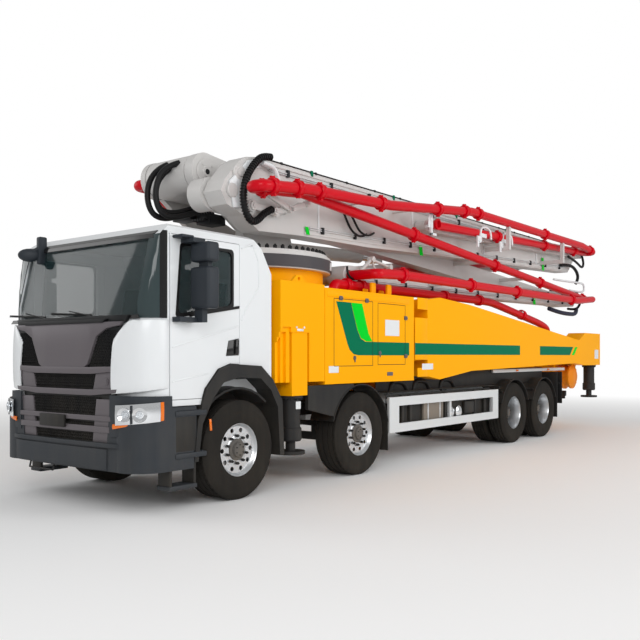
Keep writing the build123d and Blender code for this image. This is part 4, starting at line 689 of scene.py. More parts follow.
# %% Badge panel, cowl and bars
bm = bmesh.new()
add_face_panel(bm, [(-0.93, 1.900), (-0.90, 1.862), (-0.72, 1.835), (-0.57, 1.760), (-0.43, 1.480),
                    (-0.37, 1.445),
                    (0.37, 1.445), (0.43, 1.480), (0.57, 1.760), (0.72, 1.835), (0.90, 1.862), (0.93, 1.900)],
               FACE_X + 0.030, 0.035, 20)
for z_low, z_high in ((1.380, 1.450), (1.165, 1.225)):
    add_face_panel(bm, [(-0.86, z_low + 0.03), (-0.48, z_low), (0.48, z_low), (0.86, z_low + 0.03),
                        (0.88, z_high + 0.01), (0.46, z_high), (-0.46, z_high), (-0.88, z_high + 0.01)],
                   FACE_X + 0.034, 0.050, 20)
for z_low, z_high, reach in ((0.915, 0.965, 0.80), (0.800, 0.860, 0.78)):
    add_face_panel(bm, [(-reach, z_low), (reach, z_low), (reach, z_high), (-reach, z_high)],
                   FACE_X + 0.036, 0.050, 16)
for side in (1, -1):
    for z_low, z_high in ((1.19, 1.42), (0.70, 1.13)):
        corners = [(0.50, z_low), (0.74, z_low), (0.86 if z_low > 1 else 0.80, z_high), (0.56, z_high)]
        add_face_panel(bm, corners if side > 0 else mirror_y(corners), FACE_X + 0.016, 0.030, 4)
badge = finish_piece("grille_bars", bm, "silver_trim", "chassis")
bm = bmesh.new()
add_face_panel(bm, [(-0.94, 1.896), (0.94, 1.896), (0.98, 1.965), (-0.98, 1.965)], FACE_X + 0.004, 0.060, 20)
add_face_panel(bm, [(-0.68, 1.893), (0.68, 1.893), (0.74, 1.928), (-0.74, 1.928)], FACE_X + 0.044, 0.040, 16)
cowl = finish_piece("cowl", bm, "black_plastic", "chassis")
print("badge panel", len(badge.data.polygons), "faces, cowl", len(cowl.data.polygons))

# %% [markdown]
# The mesh behind the bars is a honeycomb of thin ribs. A grid of six-sided cells made with one
# small circle per cell, inset and pressed in, reads as the real one at a few faces a cell.

# %% Honeycomb mesh in the slots
def add_honeycomb(bm, y_low, y_high, z_low, z_high, front, cell=0.034, keep=None):
    """Rows of pressed-in hexagons over a patch of the face."""
    row = 0
    z = z_low + cell / 2
    while z < z_high - cell * 0.4:
        y = y_low + cell / 2 + (cell / 2 if row % 2 else 0)
        while y < y_high - cell * 0.4:
            if keep is None or keep(y, z):
                spot = Matrix.Translation((front, y, z)) @ Matrix.Rotation(math.radians(90), 4, "Y")
                made = bmesh.ops.create_circle(bm, cap_ends=True, segments=6, radius=cell * 0.56, matrix=spot)
                face = made["verts"][0].link_faces[0]
                bmesh.ops.inset_individual(bm, faces=[face], thickness=cell * 0.13, depth=-0.010)
            y += cell
        row += 1
        z += cell * 0.86


def beside_badge(y, z):
    """True between the badge panel's slanting edge and the painted corner panel."""
    return 0.45 + (z - 1.46) * 0.24 < abs(y) < 0.80 + (z - 1.46) * 0.28


bm = bmesh.new()
for z_low, z_high, reach in ((1.225, 1.380, 0.58), (0.965, 1.165, 0.62), (0.860, 0.915, 0.60),
                             (0.690, 0.800, 0.52)):
    add_honeycomb(bm, -reach, reach, z_low, z_high, FACE_X + 0.006)
add_honeycomb(bm, -0.92, 0.92, 1.46, 1.84, FACE_X + 0.006, keep=beside_badge)
bow(bm)
cells = len(bm.faces) // 7
finish_piece("grille_mesh", bm, "black_plastic", "chassis", smooth=False)
bm = bmesh.new()
add_face_panel(bm, [(-0.60, 0.670), (0.60, 0.670), (0.88, 1.450), (-0.88, 1.450)],
               FACE_X - 0.004, 0.012, 16, bevel=0)
for side in (1, -1):
    corners = [(0.45, 1.45), (0.88, 1.45), (0.96, 1.86), (0.54, 1.83)]
    add_face_panel(bm, corners if side > 0 else mirror_y(corners), FACE_X - 0.004, 0.012, 6, bevel=0)
finish_piece("grille_backing", bm, "black_plastic", "chassis")
print("honeycomb cells", cells)

# %% Lock, and the number plate's empty holder
bm = bmesh.new()
add_rod(bm, (FACE_X - 0.02, 0.72, 1.305), (FACE_X + 0.012, 0.72, 1.305), 0.036, 28)
add_rod(bm, (FACE_X + 0.012, 0.72, 1.305), (FACE_X + 0.018, 0.72, 1.305), 0.020, 20)
finish_piece("grille_lock", bm, "silver_trim", "chassis")
bm = bmesh.new()
add_block(bm, (FACE_X + 0.035, -0.36, 0.825), (FACE_X + 0.062, 0.085, 0.955), 0.006)
finish_piece("plate_holder", bm, "black_plastic", "chassis")
print("lock and plate holder")

# %% [markdown]
# ## Corner panels
#
# The painted panels between the grille and the doors bulge over the cab's corners. Each is a
# strip from the badge panel round to the door, wider at the top. It is drawn as a net of points
# on the corner's curve, closed with bridge_loops between rows, and solidified.

# %% Painted corner panels
def corner_point(share, z, out):
    """A point on the cab's corner in plan: share runs from the face (0) to the door (1)."""
    start, knee, end = (at(1.315), 0.800), (at(1.325), 1.225), (at(1.012), 1.2165)
    x = start[0] * (1 - share) ** 2 + 2 * (knee[0] * (1 - share) * share) + end[0] * share ** 2
    y = start[1] * (1 - share) ** 2 + 2 * (knee[1] * (1 - share) * share) + end[1] * share ** 2
    normal = Vector((1 - share * 0.9, 0.15 + share, 0)).normalized()
    return Vector((x, y, z)) + normal * out


bm = bmesh.new()
for side in (1, -1):
    rows = []
    for step in range(13):
        share = step / 12
        low = 1.185 + 0.06 * share
        high = 1.915 - 0.19 * max(0.0, 1 - share * 3.2) ** 1.5
        ring = []
        for level in range(9):
            part = level / 8
            swell = 0.022 * math.sin(math.pi * part) ** 0.6 * (1 - share) ** 0.5
            spot = corner_point(share, low + (high - low) * part, 0.008 + swell)
            spot.x += 0.060 * (1 - share) ** 2 * (1 - 0.4 * part)
            ring.append(bm.verts.new((spot.x, side * spot.y, spot.z)))
        rows.append(chain(bm, ring))
    bridge_rows(bm, rows)
bmesh.ops.recalc_face_normals(bm, faces=bm.faces[:])
corner = finish_piece("corner_panels", bm, "white_paint", "chassis")
skin = corner.modifiers.new("skin", "SOLIDIFY")
skin.thickness = 0.02
skin.offset = -1
rounding = corner.modifiers.new("edges", "BEVEL")
rounding.width = 0.004
rounding.segments = 2
print("corner panels", len(corner.data.polygons), "faces")

# %% [markdown]
# ## Headlamps
#
# Each lamp sits in a dark housing that wraps the corner: a bright panel with a divider, two
# round reflectors with a small clear lens in each, an amber strip along the lower inner edge
# and another up the outer end.

# %% Lamp housings, lenses and reflectors
def lamp_point(share, z, out):
    """A point on the lamp's curve in plan, from its inner end (0) to its outer end (1)."""
    start, knee, end = Vector((at(1.385), 0.80, 0)), Vector((at(1.385), 1.215, 0)), Vector((at(0.985),
                                                                                            1.238, 0))
    flat = start * (1 - share) ** 2 + knee * 2 * (1 - share) * share + end * share ** 2
    normal = Vector((1 - share * 0.95, 0.08 + share, 0)).normalized()
    return Vector((flat.x, flat.y, z)) + normal * out


def add_lamp_skin(bm, side, shares, bottom, top, out, steps=12, thickness=0.006):
    """A thin curved pane from one share of the lamp's curve to another."""
    made = bmesh.new()
    rows = []
    for step in range(steps + 1):
        part = step / steps
        share = shares[0] + (shares[1] - shares[0]) * part
        low = bottom[0] + (bottom[1] - bottom[0]) * part
        high = top[0] + (top[1] - top[0]) * part
        pair = []
        for z, push in ((low, out), ((low + high) / 2, out + 0.004), (high, out)):
            spot = lamp_point(share, z, push)
            pair.append(made.verts.new((spot.x, side * spot.y, spot.z)))
        rows.append(chain(made, pair))
    bridge_rows(made, rows)
    bmesh.ops.recalc_face_normals(made, faces=made.faces[:])
    bmesh.ops.solidify(made, geom=made.faces[:], thickness=thickness)
    pour(bm, made)


housing, lens, amber, reflector = bmesh.new(), bmesh.new(), bmesh.new(), bmesh.new()
for side in (1, -1):
    add_lamp_skin(housing, side, (-0.02, 1.0), (0.76, 0.845), (1.175, 1.165), 0.004, 16, 0.02)
    add_lamp_skin(reflector, side, (0.12, 0.80), (0.885, 0.922), (1.080, 1.110), 0.034, 12, 0.004)
    add_lamp_skin(housing, side, (0.36, 0.39), (0.900, 0.905), (1.082, 1.084), 0.044, 2, 0.008)
    add_lamp_skin(amber, side, (0.06, 0.32), (0.845, 0.880), (0.893, 0.905), 0.024, 6, 0.012)
    add_lamp_skin(amber, side, (0.81, 0.86), (0.925, 0.930), (1.110, 1.112), 0.024, 2, 0.012)
    for share, radius in ((0.27, 0.068), (0.50, 0.072)):
        spot = lamp_point(share, 0.990, 0.036)
        ahead = lamp_point(share, 0.990, 0.054) - spot
        spot.y *= side
        ahead.y *= side
        add_turned(reflector, spot, ahead, [(0.000, radius * 0.45), (0.010, radius * 0.85),
                                           (0.016, radius), (0.012, radius), (0.004, radius * 0.85),
                                           (-0.004, radius * 0.4)], 28)
        add_turned(lens, spot, ahead, [(0.002, 0.0), (0.014, radius * 0.28), (0.010, radius * 0.42),
                                      (0.001, radius * 0.42)], 24, closed=False)
for name, made, paint in (("lamp_housings", housing, "slate_plastic"),
                          ("lamp_reflectors", reflector, "chrome"),
                          ("lamp_lenses", lens, "lens"), ("lamp_amber", amber, "amber_lens")):
    finish_piece(name, made, paint, "chassis")
print("headlamps on both sides")

# %% [markdown]
# ## Bumper
#
# The lower front is one dark moulding, and the solid has its body. Added here are the ridge
# along its top, the wide panel under the ridge and a thin towing frame that hangs below it on
# one side.

# %% Ridge, lower panel and towing frame
bm = bmesh.new()
add_face_panel(bm, [(-0.97, 0.655), (0.97, 0.655), (0.97, 0.700), (-0.97, 0.700)], at(1.425), 0.045, 24,
               0.008)
add_face_panel(bm, [(-0.93, 0.430), (0.74, 0.430), (0.74, 0.640), (-0.93, 0.640)], at(1.412), 0.030, 24,
               0.010)
finish_piece("bumper_ridge", bm, "slate_plastic", "chassis")
bm = bmesh.new()
rail = [(at(1.33), -0.66, 0.46), (at(1.36), -0.66, 0.35), (at(1.36), -0.22, 0.35), (at(1.33), -0.22, 0.46)]
for first, second in zip(rail, rail[1:]):
    add_rod(bm, first, second, 0.010, 10)
finish_piece("tow_frame", bm, "dark_steel", "chassis")
print("bumper details")

# %% [markdown]
# ## Windscreen surround, wipers and the small front mirror
#
# The real screen wraps round the cab's corners, with a black printed border where it is glued
# to the pillars. The solid screen is flat and ends before the corner, so the wrapped part is a
# thin skin that follows the corner's curve, in rows from the bottom of the screen to the roof.

# %% The corner's curve, and skins on it
CORNER_CENTRE = (0.9615, 0.8901)
CORNER_RADIUS = 0.3285


def screen_front(z):
    """X of the cab's sloping front at a height, ahead of the first axle."""
    return 1.290 - (z - 1.930) * 0.226 if z < 2.77 else 1.100 - (z - 2.77) * 1.333


def corner_spot(turn, z, out):
    """A point on the cab's front corner: turn in degrees, 0 ahead and 90 at the door."""
    x = CORNER_CENTRE[0] + (CORNER_RADIUS + out) * math.cos(math.radians(turn))
    y = CORNER_CENTRE[1] + (CORNER_RADIUS + out) * math.sin(math.radians(turn))
    return (at(min(x, screen_front(z) + out)), y, z)


def add_corner_skin(bm, turns, heights, out, steps=10):
    """Closed skins on both corners between two turns, one row of points at each height."""
    for side in (1, -1):
        made = bmesh.new()
        rows = []
        for z in heights:
            spots = [corner_spot(turns[0] + (turns[1] - turns[0]) * step / steps, z,
                                 out) for step in range(steps + 1)]
            row = [made.verts.new((x, side * y, height)) for x, y, height in spots]
            rows.append(chain(made, row))
        bridge_rows(made, rows)
        bmesh.ops.recalc_face_normals(made, faces=made.faces[:])
        bmesh.ops.solidify(made, geom=made.faces[:], thickness=0.008)
        pour(bm, made)


SCREEN_ROWS = (1.935, 2.10, 2.30, 2.50, 2.70, 2.765, 2.80)
bm = bmesh.new()
add_corner_skin(bm, (28, 66), SCREEN_ROWS[:-1], 0.010)
finish_piece("screen_corners", bm, "screen_tint", "chassis")
bm = bmesh.new()
add_corner_skin(bm, (65, 78), SCREEN_ROWS, 0.013, 4)
for low, high in ((1.922, 1.962), (2.725, 2.766)):
    corners = [(at(screen_front(z) + 0.004), y, z) for z,
               y in ((low, -1.13), (low, 1.13), (high, 1.10), (high, -1.10))]
    add_plate(bm, corners, (0.008, 0, 0.002))
add_plate(bm, [(at(1.104), -1.12, 2.765), (at(1.104), 1.12, 2.765), (at(1.058), 1.12, 2.802),
               (at(1.058), -1.12, 2.802)],
          (0.006, 0, 0.006))
finish_piece("screen_border", bm, "gloss_black", "chassis")
print("screen border on both corners")

# %% Wipers, and the mirror that looks down over the cab's front
bm = bmesh.new()
for y in (0.42, -0.40):
    add_rod(bm, (at(1.325), y, 1.935), (at(1.330), y, 1.965), 0.018, 14)
    add_rod(bm, (at(1.325), y, 1.962), (at(1.283), y - 0.46, 2.035), 0.009, 8, 0.006)
    add_rod(bm, (at(1.294), y - 0.06, 1.985), (at(1.284), y - 0.78, 2.020), 0.008, 8)
    add_rod(bm, (at(1.296), y - 0.05, 1.975), (at(1.286), y - 0.79, 2.008), 0.004, 6)
finish_piece("wipers", bm, "hose_rubber", "chassis")
bm = bmesh.new()
add_block(bm, (at(1.07), -0.845, 2.60), (at(1.17), -0.765, 2.91), 0.02)
add_rod(bm, (at(1.13), -0.80, 2.80), (at(1.20), -0.85, 2.74), 0.022, 12)
head = bmesh.ops.create_icosphere(bm, subdivisions=3, radius=1.0)["verts"]
bmesh.ops.scale(bm, vec=(0.125, 0.055, 0.075), verts=head)
bmesh.ops.rotate(bm, cent=(0, 0, 0), matrix=Matrix.Rotation(math.radians(-38), 3, "Z"), verts=head)
bmesh.ops.translate(bm, vec=(at(1.225), -0.885, 2.700), verts=head)
for side in (1, -1):
    add_block(bm, (at(0.80), side * 1.20, 2.735), (at(0.96), side * 1.36, 2.765), 0.010)
finish_piece("front_mirror", bm, "slate_plastic", "chassis")
print("wipers and front mirror")

# %% [markdown]
# ## Doors
#
# Each door gets its window: a tinted pane in a black rubber channel with round corners, a
# black sill strip under it, a handle in a dark recess, and two pressed creases that run back
# and up along the skin. All of it rides on the door, so it swings open with it.

# %% Window channels and panes
def rounded_loop(bm, corners, y, radius):
    """A closed loop of edges on (X, Z) corners, rounded at each corner; returns its edges."""
    known = set(bm.faces)
    verts = [bm.verts.new((at(x), y, z)) for x, z in corners]
    bm.faces.new(verts)
    bmesh.ops.bevel(bm, geom=verts, offset=radius, segments=6, affect="VERTICES", profile=0.5,
                    material=-1, clamp_overlap=True)
    face = next(item for item in bm.faces if item not in known)
    edges = list(face.edges)
    bmesh.ops.delete(bm, geom=[face], context="FACES_ONLY")
    return edges


WINDOW_OUTER = [(0.922, 1.940), (0.090, 2.072), (0.090, 2.705), (0.858, 2.705)]
WINDOW_INNER = [(0.885, 1.985), (0.120, 2.105), (0.120, 2.675), (0.836, 2.675)]
for side_name, side in SIDES:
    door = "door_" + side_name
    bm = bmesh.new()
    outer = rounded_loop(bm, WINDOW_OUTER, side * 1.2165, 0.045)
    inner = rounded_loop(bm, WINDOW_INNER, side * 1.2165, 0.060)
    made = bmesh.ops.bridge_loops(bm, edges=outer + inner)
    thicken(bm, made["faces"], (0, -side * 0.022, 0))
    add_plate(bm, [(at(0.735), side * 1.216, 1.958), (at(0.735), side * 1.216, 1.992),
                   (at(0.010), side * 1.216, 2.106), (at(0.010), side * 1.216, 2.076)],
                   (0, side * 0.010, 0), 0.003)
    finish_piece("window_channel_" + side_name, bm, "hose_rubber", door)
    bm = bmesh.new()
    add_plate(bm, [(at(x), side * 1.190, z) for x,
                   z in WINDOW_INNER[:1] + [(0.115, 2.095), (0.115, 2.682), (0.842, 2.682)]],
              (0, side * 0.005, 0))
    finish_piece("window_pane_" + side_name, bm, "glass", door, smooth=False)
    bm = bmesh.new()
    add_plate(bm, [(at(0.175), side * 1.2155, 1.725), (at(0.018), side * 1.2155, 1.752),
                   (at(0.018), side * 1.2155, 1.568), (at(0.212), side * 1.2155, 1.560)],
                   (0, side * 0.005, 0), 0.002)
    add_plate(bm, [(at(0.075), side * 1.219, 1.735), (at(0.030), side * 1.219, 1.742),
                   (at(0.030), side * 1.219, 1.585), (at(0.085), side * 1.219, 1.580)],
                   (0, side * 0.020, 0), 0.006)
    finish_piece("door_handle_" + side_name, bm, "gloss_black", door)
    bm = bmesh.new()
    for start, end, wide in (((0.965, 1.648), (0.012, 1.888), 0.010), ((0.965, 1.305), (0.47, 1.380), 0.008)):
        add_plate(bm, [(at(start[0]), side * 1.2135, start[1] - wide),
                       (at(start[0]), side * 1.2135, start[1] + wide),
                       (at(end[0]), side * 1.2135, end[1] + wide),
                       (at(end[0]), side * 1.2135, end[1] - wide)],
                  (0, side * 0.006, 0), 0.0045)
    finish_piece("door_creases_" + side_name, bm, "white_paint", door)
    bm = bmesh.new()
    for low, high in ((2.035, 2.455), (2.505, 2.705)):
        add_block(bm, (at(0.608), side * 1.262, low), (at(0.775), side * 1.530, high), 0.032, 4)
    finish_piece("mirror_covers_" + side_name, bm, "slate_plastic", door)
    bm = bmesh.new()
    for low, high in ((2.075, 2.415), (2.535, 2.675)):
        add_block(bm, (at(0.603), side * 1.300, low), (at(0.610), side * 1.495, high), 0.003)
    finish_piece("mirror_faces_" + side_name, bm, "chrome", door)
print("doors dressed on both sides")

# %% [markdown]
# ## Behind the door, under it and round the wheel
#
# The cab's rear quarter has a raised outline. Under the door are two treads in a dark recess
# and a hanging step below them, and the wheel turns in a black lined arch.

# %% Rear quarter outline, steps, arch liner and side marker
quarter, steps, treads, liner, marker = (bmesh.new() for _ in range(5))
QUARTER = [(-0.03, 2.735), (-0.205, 2.80), (-0.30, 2.62), (-0.31, 2.33), (-0.115, 2.10), (-0.03, 1.95)]
for side_name, side in SIDES:
    for first, second in zip(QUARTER, QUARTER[1:]):
        start, end = Vector((at(first[0]), side * 1.213, first[1])), Vector((at(second[0]), side * 1.213,
                                                                             second[1]))
        add_rod(quarter, start, end, 0.009, 10)
    for top, inner in ((1.010, 1.14), (0.585, 1.10)):
        add_block(treads, (at(0.52), side * inner, top - 0.055), (at(0.945), side * 1.252, top), 0.012)
        for number in range(9):
            x = 0.56 + number * 0.042
            add_block(treads, (at(x), side * (inner + 0.02), top - 0.002),
                      (at(x + 0.022), side * 1.24, top + 0.008), 0.002)
    add_block(steps, (at(0.665), side * 1.232, 0.600), (at(0.935), side * 1.2415, 0.950), 0.004)
    add_block(steps, (at(0.60), side * 1.10, 0.90), (at(0.95), side * 1.16, 1.10), 0.01)
    for x in (0.635, 0.955):
        add_block(steps, (at(x), side * 1.03, 0.235), (at(x + 0.035), side * 1.21, 0.56), 0.008)
    add_block(treads, (at(0.625), side * 1.02, 0.215), (at(1.00), side * 1.22, 0.262), 0.010)
    ring = [(math.cos(math.radians(turn)), math.sin(math.radians(turn))) for turn in range(48, 133, 12)]
    rows = []
    for radius in (0.684, 0.660):
        for y in (0.79, 1.195):
            row = [liner.verts.new((at(cosine * radius), side * y, 0.54 + sine * radius)) for cosine,
                   sine in ring]
            rows.append(chain(liner, row))
    for first, second in ((0, 1), (1, 3), (3, 2), (2, 0)):
        bmesh.ops.bridge_loops(liner, edges=rows[first] + rows[second])
    add_block(liner, (at(-0.62), side * 0.575, 1.00), (at(0.62), side * 0.583, 1.33), 0.002)
    add_plate(marker, [(at(0.487), side * 1.242, 0.905), (at(0.458), side * 1.242, 0.905),
                       (at(0.447), side * 1.242, 0.785), (at(0.474), side * 1.242, 0.785)],
                       (0, side * 0.010, 0), 0.003)
bmesh.ops.holes_fill(liner, edges=[edge for edge in liner.edges if edge.is_boundary], sides=4)
finish_piece("cab_quarter_outline", quarter, "white_paint", "chassis")
finish_piece("step_recesses", steps, "black_plastic", "chassis")
finish_piece("step_treads", treads, "slate_plastic", "chassis")
finish_piece("arch_liner", liner, "hose_rubber", "chassis")
finish_piece("side_marker", marker, "amber_lens", "chassis")
print("steps and arches on both sides")

# %% [markdown]
# ## Deck and outriggers
#
# The yellow side boxes carry a green band that drops from the front and runs back along the
# outrigger beam. It is paint, so it is made of plates only a millimetre thick, cut to the
# band's outline. Doors are seen by the dark seam around them and by their hinges and latches.

# %% Flat marks and seams on a side face
def add_mark(bm, side, corners, y=1.2502, thickness=0.0014):
    """A thin plate on a side face of the truck, from (X ahead of axle 1, Z) corners."""
    add_plate(bm, [(at(x), side * y, z) for x, z in corners], (0, side * thickness, 0))


def add_seam(bm, side, x_low, x_high, z_low, z_high, width=0.006, y=1.2502):
    """The dark gap around a door, as four thin strips."""
    for low, high in (((x_low, z_low), (x_high, z_low + width)), ((x_low, z_high - width), (x_high, z_high)),
                      ((x_low, z_low), (x_low + width, z_high)), ((x_high - width, z_low), (x_high, z_high))):
        add_mark(bm, side, [(low[0], low[1]), (high[0], low[1]), (high[0], high[1]), (low[0], high[1])], y)


DARK_BAND = [(-1.71, 2.25), (-2.03, 2.25), (-2.17, 1.90), (-2.25, 1.79), (-2.36, 1.75), (-3.46, 1.75),
             (-3.46, 1.57),
             (-2.20, 1.57), (-2.09, 1.585), (-2.00, 1.64), (-1.95, 1.72)]
BRIGHT_SLASH = [(-2.035, 2.25), (-2.28, 2.25), (-2.43, 1.86), (-2.52, 1.755), (-2.375, 1.755),
                (-2.255, 1.795),
                (-2.175, 1.90)]
BEAM_BANDS = [[(-3.62, 1.75), (-7.30, 1.75), (-7.30, 1.58), (-3.62, 1.58)],
              [(-8.22, 1.75), (-9.98, 1.75), (-9.80, 1.58), (-8.22, 1.58)]]
BEAM_SLASH = [(-10.10, 1.75), (-10.24, 1.75), (-10.04, 1.58), (-9.90, 1.58)]

# %% Green band, doors, hinges and blank labels on both sides
for side_name, side in SIDES:
    bm = bmesh.new()
    add_mark(bm, side, DARK_BAND)
    finish_piece("band_dark_" + side_name, bm, "dark_green", "chassis", smooth=False)
    bm = bmesh.new()
    add_mark(bm, side, BRIGHT_SLASH)
    finish_piece("band_bright_" + side_name, bm, "bright_green", "chassis", smooth=False)
    beam = "rear_leg_" + side_name
    bm = bmesh.new()
    for corners in BEAM_BANDS:
        add_mark(bm, side, corners)
    finish_piece("beam_band_" + side_name, bm, "dark_green", beam, smooth=False)
    bm = bmesh.new()
    add_mark(bm, side, BEAM_SLASH)
    finish_piece("beam_slash_" + side_name, bm, "bright_green", beam, smooth=False)

    seams, fittings, labels, yellow, latches = (bmesh.new() for _ in range(5))
    for x_low, x_high, z_low, z_high in ((-2.53, -1.66, 1.43, 2.29), (-3.35, -2.65, 1.44, 2.28)):
        add_seam(seams, side, x_low, x_high, z_low, z_high, y=1.2518)
    for x, z in ((-1.80, 2.295), (-2.38, 2.295), (-3.355, 2.10), (-3.355, 1.56)):
        add_block(fittings, (at(x - 0.035), side * 1.250, z - 0.028),
                  (at(x + 0.035), side * 1.266, z + 0.028), 0.005)
        add_rod(fittings, (at(x - 0.035), side * 1.264, z), (at(x + 0.035), side * 1.264, z), 0.008, 12)
    add_block(fittings, (at(-3.02), side * 1.250, 1.290), (at(-2.88), side * 1.258, 1.340), 0.004)
    for x, z in ((-2.11, 1.535), (-2.70, 1.60)):
        add_rod(latches, (at(x), side * 1.249, z), (at(x), side * 1.258, z), 0.030, 24)
        add_block(latches, (at(x - 0.009), side * 1.256, z - 0.055),
                  (at(x + 0.009), side * 1.264, z + 0.030), 0.003)
    add_mark(labels, side, [(-2.83, 2.06), (-3.19, 2.06), (-3.19, 1.84), (-2.83, 1.84)], 1.2518)
    add_mark(labels, side, [(-1.555, 1.435), (-1.76, 1.435), (-1.76, 1.350), (-1.555, 1.350)], 1.2518)
    for x in (-2.84, -3.24):
        add_block(yellow, (at(x - 0.055), side * 1.02, 2.37), (at(x + 0.055), side * 1.06, 2.58), 0.012)
        add_block(yellow, (at(x - 0.055), side * 0.90, 2.37), (at(x + 0.055), side * 0.93, 2.50), 0.012)
    add_block(yellow, (at(-3.46), side * 1.235, 2.30), (at(-1.52), side * 1.258, 2.378), 0.010)
    finish_piece("box_seams_" + side_name, seams, "hose_rubber", "chassis", smooth=False)
    finish_piece("box_hinges_" + side_name, fittings, "silver_trim", "chassis")
    finish_piece("box_latches_" + side_name, latches, "silver_trim", "chassis")
    finish_piece("blank_labels_" + side_name, labels, "white_paint", "chassis", smooth=False)
    finish_piece("pipe_saddles_" + side_name, yellow, "yellow_paint", "chassis")
    bm = bmesh.new()
    for z_low, z_high, x_front in ((1.505, 2.122, -3.625), (2.245, 2.415, -3.70), (1.255, 1.385, -3.70)):
        add_block(bm, (at(-3.995), side * 1.236, z_low), (at(x_front), side * 1.2495, z_high), 0.004)
    finish_piece("beam_front_cover_" + side_name, bm, "yellow_paint", beam)
    bm = bmesh.new()
    add_mark(bm, side, [(-3.82, 1.45), (-4.14, 1.45), (-4.14, 1.36), (-3.82, 1.36)], 1.2504)
    add_mark(bm, side, [(-11.30, 1.70), (-11.55, 1.70), (-11.55, 1.50), (-11.30, 1.50)], 1.2504)
    finish_piece("beam_labels_" + side_name, bm, "white_paint", beam, smooth=False)
print("deck and beams marked on both sides")

# %% [markdown]
# ## Outrigger legs
#
# Below each yellow box the jack's outer tube is a dark casing with a flange of bolts, ending in
# a collar just above the foot. The casing is turned from one outline.

# %% Jack casings and head details
for side_name, side in SIDES:
    for leg, x, y, top, bottom in (("front_leg_", -1.000, 1.095, 1.088, 0.545),
                                   ("rear_leg_", -11.450, 1.070, 1.359, 0.795)):
        bm = bmesh.new()
        outline = [(top, 0.090), (top, 0.150), (top - 0.028, 0.150), (top - 0.034, 0.118),
                   (bottom + 0.17, 0.118),
                   (bottom + 0.15, 0.135), (bottom + 0.02, 0.135), (bottom, 0.120), (bottom, 0.0895)]
        add_turned(bm, (at(x), side * y, 0), (0, 0, 1), outline, 40)
        for ahead, out in circle_spots(12, 0.135, 0.5):
            spot = (at(x) + ahead, side * y + out)
            add_rod(bm, (*spot, top - 0.05), (*spot, top - 0.028), 0.010, 6)
        finish_piece(leg + "casing_" + side_name, bm, "dark_steel", leg + side_name)
    bm = bmesh.new()
    add_mark(bm, side, [(-0.96, 1.02), (-1.05, 1.02), (-1.05, 0.93), (-0.96, 0.93)], 1.2135)
    finish_piece("casing_label_" + side_name, bm, "white_paint", "front_leg_" + side_name, smooth=False)
    bm = bmesh.new()
    for x in (-0.93, -1.07):
        add_rod(bm, (at(x), side * 1.238, 1.90), (at(x), side * 1.256, 1.90), 0.014, 6)
    add_block(bm, (at(-1.06), side * 1.238, 1.855), (at(-0.94), side * 1.254, 1.885), 0.004)
    finish_piece("head_bolts_" + side_name, bm, "bare_aluminium", "front_leg_" + side_name)
print("jack casings")

# %% [markdown]
# ## Slewing ring
#
# The turret stands on a big bearing: a dark band, a pale flange and a circle of standing bolts.
# The band is turned, and the bolts are six-sided rods in a circle.

# %% Ring band and bolts
SLEW = (at(-1.5), 0.0)
bm = bmesh.new()
add_turned(bm, (*SLEW, 0), (0, 0, 1), [(2.655, 1.052), (2.655, 1.066), (2.802, 1.066), (2.802, 1.052)], 96)
finish_piece("ring_band", bm, "ring_grey", "turret")
bm = bmesh.new()
for ahead, out in circle_spots(60, 0.965):
    spot = (SLEW[0] + ahead, SLEW[1] + out)
    add_rod(bm, (*spot, 2.874), (*spot, 2.918), 0.026, 6)
    add_rod(bm, (*spot, 2.918), (*spot, 2.932), 0.013, 8)
finish_piece("ring_bolts", bm, "hose_rubber", "turret")
bm = bmesh.new()
for turn in (118, 300):
    made = bmesh.ops.create_cube(bm, size=1.0)["verts"]
    bmesh.ops.scale(bm, vec=(0.004, 0.10, 0.10), verts=made)
    bmesh.ops.translate(bm, vec=(1.068, 0, 2.728), verts=made)
    bmesh.ops.rotate(bm, cent=(0, 0, 0), matrix=Matrix.Rotation(math.radians(turn), 3, "Z"), verts=made)
    bmesh.ops.translate(bm, vec=(*SLEW, 0), verts=made)
finish_piece("ring_label", bm, "white_paint", "turret")
print("slewing ring dressed")
